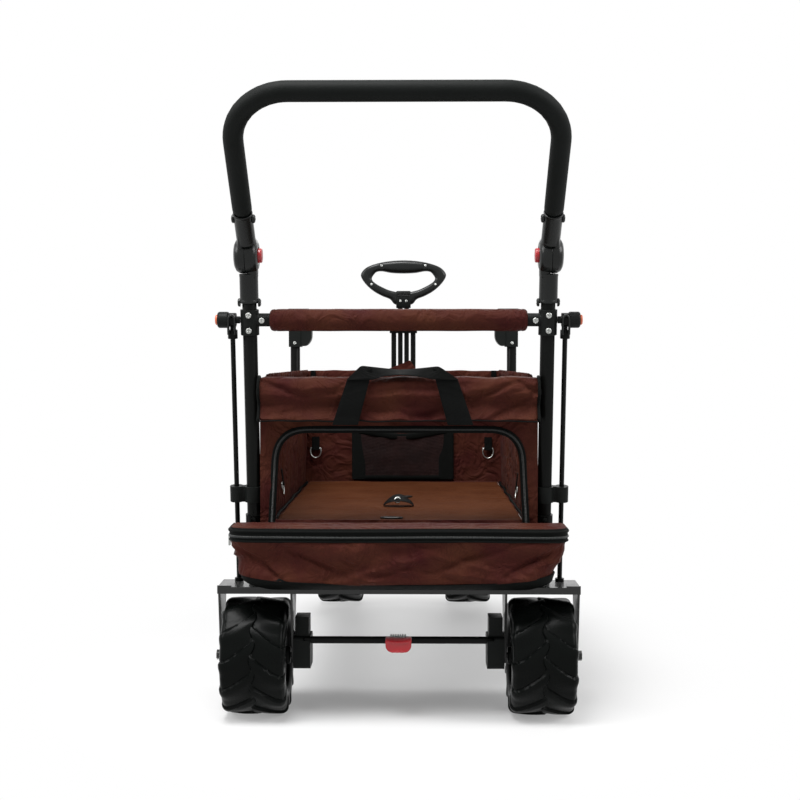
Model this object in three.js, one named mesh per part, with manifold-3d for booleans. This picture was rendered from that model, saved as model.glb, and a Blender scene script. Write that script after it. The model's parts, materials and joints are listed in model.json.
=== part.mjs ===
// A folding beach wagon: two steel end frames joined by a hinged floor and side stays, a fabric tub between
// them, a push bar and braked wheels at the rear, a telescopic pull handle and swivel wheels at the front.
// Millimetres, +Z up. The rear (push-bar end) is towards -Y, the front towards +Y, left is -X.

import * as THREE from "three";
import { mergeVertices } from "three/addons/utils/BufferGeometryUtils.js";
import Module from "manifold-3d";

const wasm = await Module();
wasm.setup();

// Gaps shared by all pieces
const seatGap = 0.3; // between two pieces that touch
const runGap = 0.5; // between a turning or sliding piece and what carries it
const cutOver = 2; // how far a cut runs past the face it opens
const slimRadius = 9;
const weldGap = 0.001; // corners closer than this are one corner

// Wheels, the same size front and rear
const tyreRadius = 102;
const tyreWidth = 114;
const lugWidth = 17; // of one tread lug, along the tread
const lugHeight = 7;
const lugSlope = 2.5; // foot of a lug past its top, along the tread
const tyreDepth = 37; // from the tread's base in to the rim
const rimWidth = 96;
const rimWall = 6;
const webThick = 8;
const webShares = [1, 2]; // the web's two faces from the middle of the rim, in thicknesses
const hubRadius = 16;
const axleRadius = 5;
const tyreGap = 4; // tyre to the leg of its fork
const lugCount = 12;
const wheelSides = 16;

// Brake
const ribCount = 12;
const ribOuter = 34;
const ribGap = 3; // fork leg to the ribs
const ribThick = 3;
const pinRadius = 3.5;
const pinLength = 24;
const housingWidth = 30;
const housingDepth = 56;
const housingHeight = 57;
const housingNeckWidth = 24;
const housingNeckHeight = 33;
const housingDrop = 18; // housing's underside below the axle
const housingShift = 4; // housing's middle behind the axle
const housingCorner = 8;
const brakeRodRadius = 6.5;
const brakeStubRadius = 4.5;
const brakeStubLength = 12;
const brakeRodBack = 27; // rod behind the axle
const brakeRodRise = 33; // rod above the axle
const pedalHalf = 23;
const pedalReach = 44;
const pedalThick = 9;
const pedalRib = 1.6;
const pedalRibs = 6;
const pedalWall = 3;

// Rear bridge and forks
const rearTrackHalf = 250;
const rearAxleY = 47;
const tyreTopGap = 13.5; // tyre to the underside of the bridge
const bridgeThick = 12;
const bridgeDepth = 76;
const bridgeLip = 1; // bridge past the outer fork leg
const legThick = 4;
const legTopDepth = 70;
const legFootRadius = 14;
const nutRadius = 9;
const nutThick = 8;
const stripRise = 2.5;
const stripDepth = 4;
const weldDepth = 1; // how far welded pieces run into each other

// Rear posts and what they carry
const crossbarHeight = 693; // floor to the crossbar's axis; the crossbar's axis is at Y = 0
const postLean = THREE.MathUtils.degToRad(8.5);
const postX = 256;
const postRadius = 12.5;
const clampRadius = 16;
const clampHeight = 44;
const clampDrop = 4;
const stubRadius = 11.5;
const crossTubeRadius = 8.5;
const stubGrip = 14; // how far the crossbar tube reaches into the stub
const padInset = 36; // post's axis to the end of the crossbar's pad
const padRadius = 19;
const shaftRadius = 5;
const rodX = 286;
const rodRadius = 4.3;
const eyeRadius = 12;
const eyeWidth = 13;
const sleeveRadius = 8.5;
const sleeveLength = 15;
const sleeveDrop = 24.5; // eye to the middle of the sleeve
const rodFootRadius = 8;
const rodFootHeight = 6;
const knobRadius = 14;
const knobLength = 18;
const capRadius = 9;
const capLength = 10;
const capProud = 4;
const capTravel = 3;
const collarDrop = 307.5; // crossbar axis to the collar, along the post
const collarHeight = 28;
const collarWall = 4;
const bossRadius = 15.5;
const bossHeight = 18;
const bossRise = 25; // above the floor pivot
const boltRadius = 4.5;
const boltProud = 4;
const screwRadius = 2.8;
const screwProud = 1.2;
const padEdge = 3;
const knobEdge = 2;
const capEdge = 1.5;
const eyeWall = 2;
const collarRodRadius = 12;
const collarWeb = 6;

// Push bar
const hingeRise = 110; // crossbar axis to the hinge, along the post
const discRadius = 30.5;
const discThick = 42; // both halves of the hinge together
const discInset = 18; // inner face of the disc towards the middle, from the post's axis
const sleeveOuter = 16.5;
const lowerSleeve = 50;
const upperSleeve = 62;
const webHalf = 14;
const pushLean = THREE.MathUtils.degToRad(45.5);
const pushLength = 324.5; // hinge to the axis of the top bar
const bendRadius = 92;
const foamRadius = 16.2;
const buttonRadius = 12.5;
const buttonProud = 6;
const buttonLength = 14;
const buttonTravel = 4;
const sleeveFloor = 4; // closed end of a sleeve
const rivetRise = 9;
const barSteps = 30;
const tubeSides = 8;

// Floor and fold
const floorAxisZ = 318;
const floorHalf = 357; // pivot to pivot, one board
const boardHalfWidth = 222;
const boardRise = 1; // board above the pivots' axis
const boardThick = 6;
const matThick = 13.7;
const railThick = 3.8;
const earRadius = 8;
const pivotRadius = 4;
const boardStart = 10; // pivot's axis to the end of the board
const middleGap = 0.6; // between the two boards at the middle
const foldedAngle = THREE.MathUtils.degToRad(30); // between the folded boards

// Side stays
const stayDrop = 24; // tub's rim down to the stays' axis
const stayPivotY = 50;
const stayThick = 3;
const stayInset = 236; // inner face of the rear stay from the middle
const stayHalfWidth = 9;
const stayLap = 0.5;
const stayHole = 6.5; // opened hole at the middle, round a 4 mm pin
const lugPlate = 4;

// Tub
const rimDrop = 99; // crossbar's axis down to the tub's rim
const wallThick = 6;
const sideThick = 3;
const rearWallY = 22;
const sideInner = 231;
const sideBottom = 332;
const doorHalf = 205;
const doorSill = 345;
const doorHead = 97; // tub's rim down to the top of the doorway
const doorCornerShare = 0.3; // of the doorway's height
const rollHalf = 242.5;
const rollRise = 1; // rolled door above the rim
const rollHeight = 74;
const rollDepth = 35.5;
const rollCorner = 16;
const boxTopHalf = 285;
const boxBottomHalf = 258;
const boxTop = 339;
const boxBack = 55; // how far the foot box reaches behind the crossbar's plane
const boxCorner = 30;
const boxZipProud = 2.5;
const boxZipHeight = 24;
const boxZipDrop = 4;
const webbingWidth = 41;
const webbingThick = 2.4;
const handleFootLeft = -94;
const handleTopLeft = -63;
const handleTopRight = 66;
const handleFootRight = 108;
const handleRise = 14; // carry handle above the rim
const handleDrop = 82; // rim down to the feet of the carry handle
const handleRunDepth = 30;
const pullerWidth = 7;
const pullerHeight = 16;
const pullerThick = 3;
const pullerRestY = -22;

// Front end frame
const frontPostRadius = 11.25;
const floorEnds = 81; // the front posts' axis from the crossbar's, less the length of both floor boards
const crossTubeZ = 232;
const crossTubeOuter = 12;
const frontWallAhead = 5; // front posts' axis to the front wall
const cornerInner = 223;
const cornerOuter = 270;
const cornerDrop = 72; // front bar's axis to the foot of its corner brackets
const cornerRise = 18;
const cornerDepth = 30;
const cornerArm = 26;
const frontBarRise = 133; // tub's rim to the front bar's axis
const frontBarRadius = 11;
const frontPadHalf = 173;
const frontPadRadius = 17;
const armWidth = 28;
const armHeight = 20;
const armOverhang = 38; // arm past the swivel
const casterPlate = 4;
const casterPlateHalf = 38;
const swivelX = 163;
const swivelAhead = 205; // front posts' axis to the swivels
const casterTrail = 48;
const stemRadius = 9;
const stemReach = 14;
const crownThick = 5;
const crownGap = 4.5; // tyre to the fork's crown
const raceHeight = 3.7;
const raceRadius = 20;

// Pull handle
const pullPivotAhead = 24; // front posts' axis to the pull handle's pivot
const pullPivotZ = 262;
const pullOuterX = 23;
const pullOuterRadius = 6;
const pullInnerX = 7.5;
const pullInnerRadius = 5.7;
const pullBlockHalf = 33;
const pullBlockHeight = 34;
const pullBlockDepth = 20;
const pullEarThick = 4;
const pullEarHalf = 10;
const pullTie = 3;
const collarBlockHalf = 32.5;
const collarBlockDrop = 39; // front bar's axis to the foot of the collar
const collarBlockHeight = 22;
const collarBlockDepth = 22;
const innerFoot = 330;
const neckRise = 21; // front bar's axis to the foot of the grip's neck
const neckDepth = 22;
const gripHalf = 101.5;
const gripHeight = 114; // neck's foot to the top of the grip

// Lengths that follow from the ones above
const lugHalfAngle = Math.asin(lugWidth / 2 / tyreRadius);
const axleZ = tyreRadius * Math.cos(lugHalfAngle);
const rimRadius = tyreRadius - lugHeight - tyreDepth;
const hubHalf = tyreWidth / 2 + tyreGap - runGap;
const legInner = tyreWidth / 2 + tyreGap; // wheel's middle to the inside of a fork leg
const bridgeBottom = axleZ + tyreRadius + tyreTopGap;
const bridgeTop = bridgeBottom + bridgeThick;
const bridgeHalf = rearTrackHalf + legInner + legThick + bridgeLip;
const postY = (z) => (crossbarHeight - z) * Math.tan(postLean);
const floorPivotY = postY(floorAxisZ);
const middleY = floorPivotY + floorHalf;
const frontPivotY = middleY + floorHalf;
const frontPostY = 2 * floorHalf + floorEnds;
const frontWallY = frontPostY + frontWallAhead;
const pullPivotY = frontPostY + pullPivotAhead;
const swivelY = frontPostY + swivelAhead;
const boardBottom = floorAxisZ + boardRise;
const padHalf = postX - padInset;
const rimHeight = crossbarHeight - rimDrop;
const frontBarZ = rimHeight + frontBarRise;
const frontPostTop = frontBarZ + frontBarRadius;
const cornerBottom = frontBarZ - cornerDrop;
const cornerTop = frontBarZ + cornerRise;
const collarBlockBottom = frontBarZ - collarBlockDrop;
const collarBlockTop = collarBlockBottom + collarBlockHeight;
const neckBottom = frontBarZ + neckRise;
const gripTop = neckBottom + gripHeight;
const stayHeight = rimHeight - stayDrop;
const doorTop = rimHeight - doorHead;
const doorCorner = (doorTop - doorSill) * doorCornerShare;
const rollTop = rimHeight + rollRise;
const rollBottom = rollTop - rollHeight;
const handleTopZ = rimHeight + handleRise;
const handleFootZ = rimHeight - handleDrop;
const boardTop = boardBottom + boardThick;
const matBottom = boardTop + seatGap;
const matTop = matBottom + matThick;
const boxBottom = bridgeTop + seatGap;
const ribReach = legInner - ribGap;
const lugInner = stayInset + 2 * (stayThick + stayLap); // end frames' lugs, outside both stays
const pinZ = axleZ + (hubRadius + ribOuter) / 2;
const rodY = rearAxleY - brakeRodBack;
const rodZ = axleZ + brakeRodRise;

// Solids, joins and cuts

const xAxis = new THREE.Vector3(1, 0, 0);
const yAxis = new THREE.Vector3(0, 1, 0);
const zAxis = new THREE.Vector3(0, 0, 1);

// A closed geometry as a solid, with its faces turned outwards.
function solidOf(geometry) {
  const bare = geometry.clone();
  bare.deleteAttribute("normal");
  bare.deleteAttribute("uv");
  const merged = mergeVertices(bare, weldGap);
  const corners = new Uint32Array(merged.index.array);
  const build = () =>
    new wasm.Manifold(
      new wasm.Mesh({
        numProp: 3,
        vertProperties: new Float32Array(merged.attributes.position.array),
        triVerts: corners,
      }),
    );
  const made = build();
  if (made.volume() >= 0) return made;
  for (let i = 0; i < corners.length; i += 3) {
    [corners[i], corners[i + 1]] = [corners[i + 1], corners[i]];
  }
  return build();
}

function geometryOf(solid) {
  const mesh = solid.getMesh();
  const geometry = new THREE.BufferGeometry();
  geometry.setAttribute("position", new THREE.BufferAttribute(mesh.vertProperties, 3));
  geometry.setIndex(new THREE.BufferAttribute(mesh.triVerts, 1));
  const faceted = geometry.toNonIndexed();
  faceted.computeVertexNormals();
  return faceted;
}

const join = (...solids) => solids.reduce((whole, piece) => whole.add(piece));
const cut = (whole, ...cutters) => cutters.reduce((left, cutter) => left.subtract(cutter), whole);

function box(xa, xb, ya, yb, za, zb) {
  const shape = new THREE.BoxGeometry(Math.abs(xb - xa), Math.abs(yb - ya), Math.abs(zb - za));
  shape.translate((xa + xb) / 2, (ya + yb) / 2, (za + zb) / 2);
  return solidOf(shape);
}

// Slim bars have fewer sides. A hole that a round bar turns in is wide enough between its flats.
const sidesFor = (radius) => (radius < slimRadius ? 8 : 12);
const hole = (radius) => (radius + seatGap) / Math.cos(Math.PI / sidesFor(radius));

// A round bar from one point to another.
function rod(from, to, radius, sides = sidesFor(radius)) {
  const start = new THREE.Vector3(...from);
  const end = new THREE.Vector3(...to);
  const along = end.clone().sub(start);
  const shape = new THREE.CylinderGeometry(radius, radius, along.length(), sides);
  shape.applyQuaternion(new THREE.Quaternion().setFromUnitVectors(yAxis, along.clone().normalize()));
  shape.translate((start.x + end.x) / 2, (start.y + end.y) / 2, (start.z + end.z) / 2);
  return solidOf(shape);
}

// An outline drawn in (across, up), pushed from one place to another along the third axis.
function slab(shape, from, to, across, up, along) {
  const low = Math.min(from, to);
  const geometry = new THREE.ExtrudeGeometry(shape, {
    depth: Math.abs(to - from),
    bevelEnabled: false,
    curveSegments: 6,
  });
  const third = new THREE.Vector3().crossVectors(across, up);
  const turned = third.dot(along) < 0;
  geometry.applyMatrix4(new THREE.Matrix4().makeBasis(across, up, third));
  geometry.translate(...along.clone().multiplyScalar(turned ? Math.max(from, to) : low).toArray());
  return solidOf(geometry);
}

const slabX = (shape, from, to) => slab(shape, from, to, yAxis, zAxis, xAxis);
const slabY = (shape, from, to) => slab(shape, from, to, xAxis, zAxis, yAxis);
const slabZ = (shape, from, to) => slab(shape, from, to, xAxis, yAxis, zAxis);

const outline = (points) => new THREE.Shape(points.map(([x, y]) => new THREE.Vector2(x, y)));

function roundedOutline(xa, xb, ya, yb, radius, roundTop = true, roundBottom = true) {
  const shape = new THREE.Shape();
  const top = roundTop ? radius : 0;
  const bottom = roundBottom ? radius : 0;
  shape.moveTo(xa + bottom, ya);
  shape.lineTo(xb - bottom, ya);
  if (bottom) shape.absarc(xb - bottom, ya + bottom, bottom, -Math.PI / 2, 0);
  shape.lineTo(xb, yb - top);
  if (top) shape.absarc(xb - top, yb - top, top, 0, Math.PI / 2);
  shape.lineTo(xa + top, yb);
  if (top) shape.absarc(xa + top, yb - top, top, Math.PI / 2, Math.PI);
  shape.lineTo(xa, ya + bottom);
  if (bottom) shape.absarc(xa + bottom, ya + bottom, bottom, Math.PI, 1.5 * Math.PI);
  return shape;
}

// A flat bar with round ends about two points of the (Y, Z) plane.
function barOutline(ya, za, yb, zb, half) {
  const shape = new THREE.Shape();
  const angle = Math.atan2(zb - za, yb - ya);
  shape.absarc(yb, zb, half, angle - Math.PI / 2, angle + Math.PI / 2);
  shape.absarc(ya, za, half, angle + Math.PI / 2, angle + 1.5 * Math.PI);
  return shape;
}

function ringOutline(radius, sides, bore = 0) {
  const circle = (r) =>
    Array.from({ length: sides }, (_, i) => {
      const angle = (2 * Math.PI * i) / sides;
      return new THREE.Vector2(r * Math.cos(angle), r * Math.sin(angle));
    });
  const shape = new THREE.Shape(circle(radius));
  if (bore) shape.holes.push(new THREE.Path(circle(bore)));
  return shape;
}

// A profile of (radius, place along X), turned about X.
function turned(profile, sides = wheelSides) {
  const geometry = new THREE.LatheGeometry(
    profile.map(([radius, along]) => new THREE.Vector2(radius, along)),
    sides,
  );
  geometry.rotateZ(-Math.PI / 2);
  return solidOf(geometry);
}

function material(color, roughness, metalness) {
  return new THREE.MeshStandardMaterial({ color, roughness, metalness });
}

const finishes = {
  blackSteel: () => material(0x1c1d1c, 0.45, 0.6),
  blackPlastic: () => material(0x232524, 0.55, 0),
  foam: () => material(0x262928, 0.9, 0),
  rubber: () => material(0x242625, 0.85, 0),
  fabric: () => material(0x70422f, 0.9, 0),
  webbing: () => material(0x1b1d1c, 0.9, 0),
  red: () => material(0xb3262c, 0.45, 0),
  orange: () => material(0xcc6a45, 0.5, 0),
  zinc: () => material(0x8f9290, 0.4, 0.8),
};

const wagon = new THREE.Group();

function place(group, name, solid, finish) {
  const mesh = new THREE.Mesh(geometryOf(solid), finishes[finish]());
  mesh.name = name;
  group.add(mesh);
}

function groupAt(x, y, z, lean = 0, parent = wagon) {
  const group = new THREE.Group();
  group.position.set(x, y, z);
  group.rotation.x = lean;
  parent.add(group);
  return group;
}

const sides = [
  ["left", -1],
  ["right", 1],
];

// Wheels: each wheel's group is at its axle, so that it turns about its own origin.

// The tyre's rows from bead to crown: share of the way from rim to tread base, share of the half width, share
// of the lugs' height, and share of the lugs' sweep.
const tyreRowShares = [
  [0, 0.84, 0, 1],
  [0.55, 1, 0, 1],
  [0.82, 0.95, 0.75, 0.95],
  [0.97, 0.6, 1, 0.6],
  [1, 0.07, 1, 0],
];
const lugSweep = THREE.MathUtils.degToRad(24);

// One closed skin: rows across the tyre, and four columns for each chevron lug, two on its top and two
// at its foot.
function tyre() {
  const base = tyreRadius - lugHeight;
  const footAngle = lugHalfAngle + lugSlope / tyreRadius;
  const bore = (rimRadius + seatGap) / Math.cos(Math.PI / lugCount - footAngle);
  const edges = [
    [-footAngle, 0],
    [-lugHalfAngle, 1],
    [lugHalfAngle, 1],
    [footAngle, 0],
  ];
  const rows = [
    ...tyreRowShares.map((row) => [-1, ...row]),
    ...[...tyreRowShares].reverse().map((row) => [1, ...row]),
  ];
  const corners = [];
  for (const [side, up, across, lugShare, sweepShare] of rows) {
    for (let i = 0; i < lugCount; i++) {
      for (const [edge, proud] of edges) {
        const angle = (2 * Math.PI * i) / lugCount + edge - lugSweep * sweepShare;
        const radius = bore + up * (base - bore) + proud * lugShare * lugHeight;
        corners.push((side * across * tyreWidth) / 2, -radius * Math.sin(angle), -radius * Math.cos(angle));
      }
    }
  }
  const columns = lugCount * edges.length;
  const faces = [];
  for (let row = 0; row < rows.length; row++) {
    for (let column = 0; column < columns; column++) {
      const a = row * columns + column;
      const b = row * columns + ((column + 1) % columns);
      const c = ((row + 1) % rows.length) * columns + column;
      const d = ((row + 1) % rows.length) * columns + ((column + 1) % columns);
      faces.push(a, b, c, b, d, c);
    }
  }
  const geometry = new THREE.BufferGeometry();
  geometry.setAttribute("position", new THREE.Float32BufferAttribute(corners, 3));
  geometry.setIndex(faces);
  return solidOf(geometry);
}

// The rim: barrel, web and hub in one. Ribs, on the braked wheels, face the middle of the wagon.
function rim(side, ribbed) {
  const bore = axleRadius + seatGap;
  const half = rimWidth / 2;
  const inner = rimRadius - rimWall;
  const [webLow, webHigh] = webShares.map((share) => side * webThick * share).sort((a, b) => a - b);
  const profile = [
    [bore, -hubHalf],
    [hubRadius, -hubHalf],
    [hubRadius, webLow],
    [inner, webLow],
    [inner, -half],
    [rimRadius, -half],
    [rimRadius, half],
    [inner, half],
    [inner, webHigh],
    [hubRadius, webHigh],
    [hubRadius, hubHalf],
    [bore, hubHalf],
    [bore, -hubHalf],
  ];
  let whole = turned(profile);
  if (!ribbed) return whole;
  for (let i = 0; i < ribCount; i++) {
    const rib = box(
      side * (webThick + seatGap),
      -side * ribReach,
      -ribThick / 2,
      ribThick / 2,
      hubRadius - seatGap,
      ribOuter,
    );
    whole = join(whole, rib.rotate([((i + 0.5) * 360) / ribCount, 0, 0]));
  }
  return whole;
}

function addWheel(group, prefix, suffix, side, ribbed) {
  place(group, `${prefix}_tyre_${suffix}`, tyre(), "rubber");
  place(group, `${prefix}_rim_${suffix}`, rim(side, ribbed), "blackPlastic");
}

// Rear bridge: a plate with two forks welded under it, the axles and their nuts.
function legOutline(footY, footZ, topY, topZ) {
  const shape = new THREE.Shape();
  shape.moveTo(topY - legTopDepth / 2, topZ);
  shape.lineTo(footY - legFootRadius, footZ);
  shape.absarc(footY, footZ, legFootRadius, Math.PI, 2 * Math.PI);
  shape.lineTo(topY + legTopDepth / 2, topZ);
  return shape;
}

function rearBridge() {
  const front = rearAxleY + bridgeDepth / 2;
  const back = rearAxleY - bridgeDepth / 2;
  let whole = box(-bridgeHalf, bridgeHalf, back, front, bridgeBottom, bridgeTop);
  const leg = legOutline(rearAxleY, axleZ, rearAxleY, bridgeBottom + weldDepth);
  for (const [, side] of sides) {
    const inner = side * (rearTrackHalf - legInner);
    const outer = side * (rearTrackHalf + legInner);
    const innerLeg = cut(
      slabX(leg, inner, inner - side * legThick),
      rod(
        [inner + side * cutOver, rearAxleY, pinZ],
        [inner - side * (legThick + cutOver), rearAxleY, pinZ],
        pinRadius + seatGap,
      ),
    );
    const outerLeg = slabX(leg, outer, outer + side * legThick);
    const axle = rod([inner - side * legThick, rearAxleY, axleZ], [outer, rearAxleY, axleZ], axleRadius);
    const nut = rod(
      [outer, rearAxleY, axleZ],
      [outer + side * (legThick + nutThick), rearAxleY, axleZ],
      nutRadius,
      6,
    );
    const strip = box(
      side * (boxTopHalf + boxZipProud + stripDepth),
      side * bridgeHalf,
      back,
      back + stripDepth,
      bridgeTop - weldDepth,
      bridgeTop + stripRise,
    );
    whole = join(whole, innerLeg, outerLeg, axle, nut, strip);
  }
  return whole;
}

place(wagon, "rear_bridge", rearBridge(), "blackSteel");

for (const [name, side] of sides) {
  addWheel(groupAt(side * rearTrackHalf, rearAxleY, axleZ), "rear", name, side, true);
}

// Brake: a housing beside each fork, a rod between them with the foot pedal, and a pin that slides into
// each rim.
for (const [name, side] of sides) {
  const face = side * (rearTrackHalf - legInner - legThick - seatGap);
  const bottom = axleZ - housingDrop;
  const back = rearAxleY - housingDepth / 2 - housingShift;
  const top = bottom + housingHeight;
  const body = slabX(
    roundedOutline(back, back + housingDepth, bottom, top, housingCorner),
    face,
    face - side * housingWidth,
  );
  const neckMiddle = face - (side * housingWidth) / 2;
  const neck = box(
    neckMiddle - housingNeckWidth / 2,
    neckMiddle + housingNeckWidth / 2,
    back + housingCorner,
    back + housingDepth - housingCorner,
    top - weldDepth,
    top + housingNeckHeight,
  );
  const pinStart = rearTrackHalf - legInner - runGap;
  const pinBore = rod(
    [face + side * cutOver, rearAxleY, pinZ],
    [side * (pinStart - pinLength - runGap), rearAxleY, pinZ],
    pinRadius + seatGap,
  );
  const rodBore = rod(
    [face - side * (housingWidth + cutOver), rodY, rodZ],
    [face - side * (housingWidth - brakeStubLength - runGap), rodY, rodZ],
    hole(brakeStubRadius),
  );
  place(wagon, `brake_housing_${name}`, cut(join(body, neck), pinBore, rodBore), "blackPlastic");
  const pinGroup = groupAt(side * pinStart, rearAxleY, pinZ);
  place(pinGroup, `brake_pin_${name}`, rod([0, 0, 0], [-side * pinLength, 0, 0], pinRadius), "zinc");
}

const rodHalf = rearTrackHalf - legInner - legThick - seatGap - housingWidth - seatGap;
const brake = groupAt(0, rodY, rodZ);
const pedalBore = brakeRodRadius + seatGap;
place(
  brake,
  "brake_rod",
  join(
    rod([-rodHalf, 0, 0], [rodHalf, 0, 0], brakeRodRadius),
    rod([-rodHalf - brakeStubLength, 0, 0], [rodHalf + brakeStubLength, 0, 0], brakeStubRadius),
  ),
  "blackSteel",
);

function pedal() {
  const top = pedalThick / 2;
  const plate = box(-pedalHalf, pedalHalf, -pedalReach, 0, -pedalThick / 2, top);
  const boss = rod([-pedalHalf, 0, 0], [pedalHalf, 0, 0], pedalBore + pedalWall);
  let whole = join(plate, boss);
  const pitch = pedalReach / (pedalRibs + 1);
  for (let i = 1; i <= pedalRibs; i++) {
    const y = -pedalReach + (i - 0.5) * pitch;
    whole = join(whole, box(-pedalHalf, pedalHalf, y, y + pitch / 2, 0, top + pedalRib));
  }
  return cut(whole, rod([-pedalHalf - cutOver, 0, 0], [pedalHalf + cutOver, 0, 0], pedalBore));
}
place(brake, "brake_pedal", pedal(), "red");

// Rear posts, standing on the bridge and leaning back, with the floor's pivot pins and the lugs of the
// side stays.
const onPost = (x, z, shift = 0) => [x, postY(z) + shift, z];
const underBridge = (z) => box(-bridgeHalf, bridgeHalf, -bridgeHalf, bridgeHalf, z - bridgeThick, z);

for (const [name, side] of sides) {
  const x = side * postX;
  const seat = bridgeTop + seatGap;
  const topAlong = hingeRise - discRadius - runGap - sleeveFloor - seatGap;
  const top = crossbarHeight + topAlong * Math.cos(postLean);
  const tube = cut(rod(onPost(x, seat - bridgeThick / 2), onPost(x, top), postRadius), underBridge(seat));
  const floorPin = rod(
    [x, floorPivotY, floorAxisZ],
    [side * boardHalfWidth, floorPivotY, floorAxisZ],
    pivotRadius,
  );
  const bossMiddle = floorAxisZ + bossRise;
  const boss = rod(
    onPost(x, bossMiddle - bossHeight / 2),
    onPost(x, bossMiddle + bossHeight / 2),
    bossRadius
  );
  const bolt = rod(
    onPost(x, bossMiddle),
    onPost(x, bossMiddle, -bossRadius - boltProud),
    boltRadius,
    6,
  );
  const lugFace = side * lugInner;
  const stayLug = slabX(
    barOutline(postY(stayHeight), stayHeight, stayPivotY, stayHeight, stayHalfWidth),
    lugFace,
    lugFace + side * lugPlate,
  );
  const stayPin = rod(
    [lugFace + side * lugPlate, stayPivotY, stayHeight],
    [side * (stayInset - stayLap), stayPivotY, stayHeight],
    pivotRadius,
  );
  place(wagon, `rear_post_${name}`, join(tube, floorPin, boss, bolt, stayLug, stayPin), "blackSteel");
}

// What the posts carry leans with them: this group's origin is on the crossbar's axis, its Z runs up the
// posts.
const leaning = groupAt(0, 0, crossbarHeight, postLean);
const postBore = (x, low, high) => rod([x, 0, low], [x, 0, high], postRadius + seatGap);

for (const [name, side] of sides) {
  const x = side * postX;
  const low = -clampDrop - clampHeight / 2;
  const high = low + clampHeight;
  const stubEnd = side * (padHalf + seatGap);
  const body = rod([x, 0, low], [x, 0, high], clampRadius);
  const stub = rod([x, 0, 0], [stubEnd, 0, 0], stubRadius);
  const screws = [low + clampHeight / 5, high - clampHeight / 5].map((z) =>
    rod([x, 0, z], [x, -clampRadius - screwProud, z], screwRadius),
  );
  const stubScrew = rod(
    [side * (padHalf + stubGrip), 0, 0],
    [side * (padHalf + stubGrip), -stubRadius - screwProud, 0],
    screwRadius,
  );
  const tubeBore = rod(
    [stubEnd - side * cutOver, 0, 0],
    [side * (padHalf + stubGrip + seatGap), 0, 0],
    crossTubeRadius + seatGap,
  );
  place(
    leaning,
    `t_clamp_${name}`,
    cut(join(body, stub, ...screws, stubScrew), tubeBore, postBore(x, low - cutOver, high + cutOver)),
    "blackPlastic",
  );
}

const crossTubeEnd = padHalf + stubGrip;
place(
  leaning,
  "crossbar_tube",
  rod([-crossTubeEnd, 0, 0], [crossTubeEnd, 0, 0], crossTubeRadius),
  "blackSteel",
);

const padProfile = [
  [crossTubeRadius + seatGap, -padHalf],
  [padRadius - padEdge, -padHalf],
  [padRadius, -padHalf + padEdge],
  [padRadius, padHalf - padEdge],
  [padRadius - padEdge, padHalf],
  [crossTubeRadius + seatGap, padHalf],
  [crossTubeRadius + seatGap, -padHalf],
];
place(leaning, "crossbar_pad", turned(padProfile), "fabric");

for (const [name, side] of sides) {
  const start = postX + clampRadius + seatGap;
  const face = rodX + eyeWidth / 2 + runGap;
  const end = face + knobLength;
  const floorAt = end - capLength + capProud - capTravel - runGap;
  const knob = [
    [0, start],
    [shaftRadius, start],
    [shaftRadius, face],
    [knobRadius, face],
    [knobRadius, end - knobEdge],
    [knobRadius - knobEdge, end],
    [capRadius + seatGap, end],
    [capRadius + seatGap, floorAt],
    [0, floorAt],
  ].map(([radius, along]) => [radius, side * along]);
  place(leaning, `crossbar_knob_${name}`, turned(knob), "blackPlastic");
  const capStart = end - capLength + capProud;
  const cap = [
    [0, capStart],
    [capRadius, capStart],
    [capRadius, capStart + capLength - capEdge],
    [capRadius - capEdge, capStart + capLength],
    [0, capStart + capLength],
  ].map(([radius, along]) => [radius, side * along]);
  place(leaning, `end_button_${name}`, turned(cap), "orange");
}

// Stay rods, from the crossbar's ends down to the bridge, parallel to the posts.
for (const [name, side] of sides) {
  const x = side * rodX;
  const seat = bridgeTop + seatGap;
  const eye = turned([
    [shaftRadius + seatGap, -eyeWidth / 2],
    [eyeRadius, -eyeWidth / 2],
    [eyeRadius, eyeWidth / 2],
    [shaftRadius + seatGap, eyeWidth / 2],
    [shaftRadius + seatGap, -eyeWidth / 2],
  ]).translate([x, 0, crossbarHeight]);
  const shank = rod(
    onPost(x, seat - bridgeThick / 2),
    onPost(x, crossbarHeight - shaftRadius - eyeWall),
    rodRadius,
  );
  const sleeve = rod(
    onPost(x, crossbarHeight - sleeveDrop - sleeveLength / 2),
    onPost(x, crossbarHeight - sleeveDrop + sleeveLength / 2),
    sleeveRadius,
  );
  const foot = rod([x, postY(seat), seat], [x, postY(seat), seat + rodFootHeight], rodFootRadius);
  place(
    wagon,
    `stay_rod_${name}`,
    join(eye, cut(join(shank, foot), underBridge(seat)), sleeve),
    "blackSteel",
  );
  const low = -collarDrop - collarHeight / 2;
  const high = low + collarHeight;
  const bore = postRadius + seatGap;
  const collar = join(
    rod([side * postX, 0, low], [side * postX, 0, high], bore + collarWall),
    rod([x, 0, low], [x, 0, high], collarRodRadius),
    box(side * postX, x, -collarWeb, collarWeb, low, high),
  );
  const rodHole = rod([x, 0, low - cutOver], [x, 0, high + cutOver], rodRadius + seatGap);
  place(
    leaning,
    `post_collar_${name}`,
    cut(collar, postBore(side * postX, low - cutOver, high + cutOver), rodHole),
    "blackPlastic",
  );
}

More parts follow.
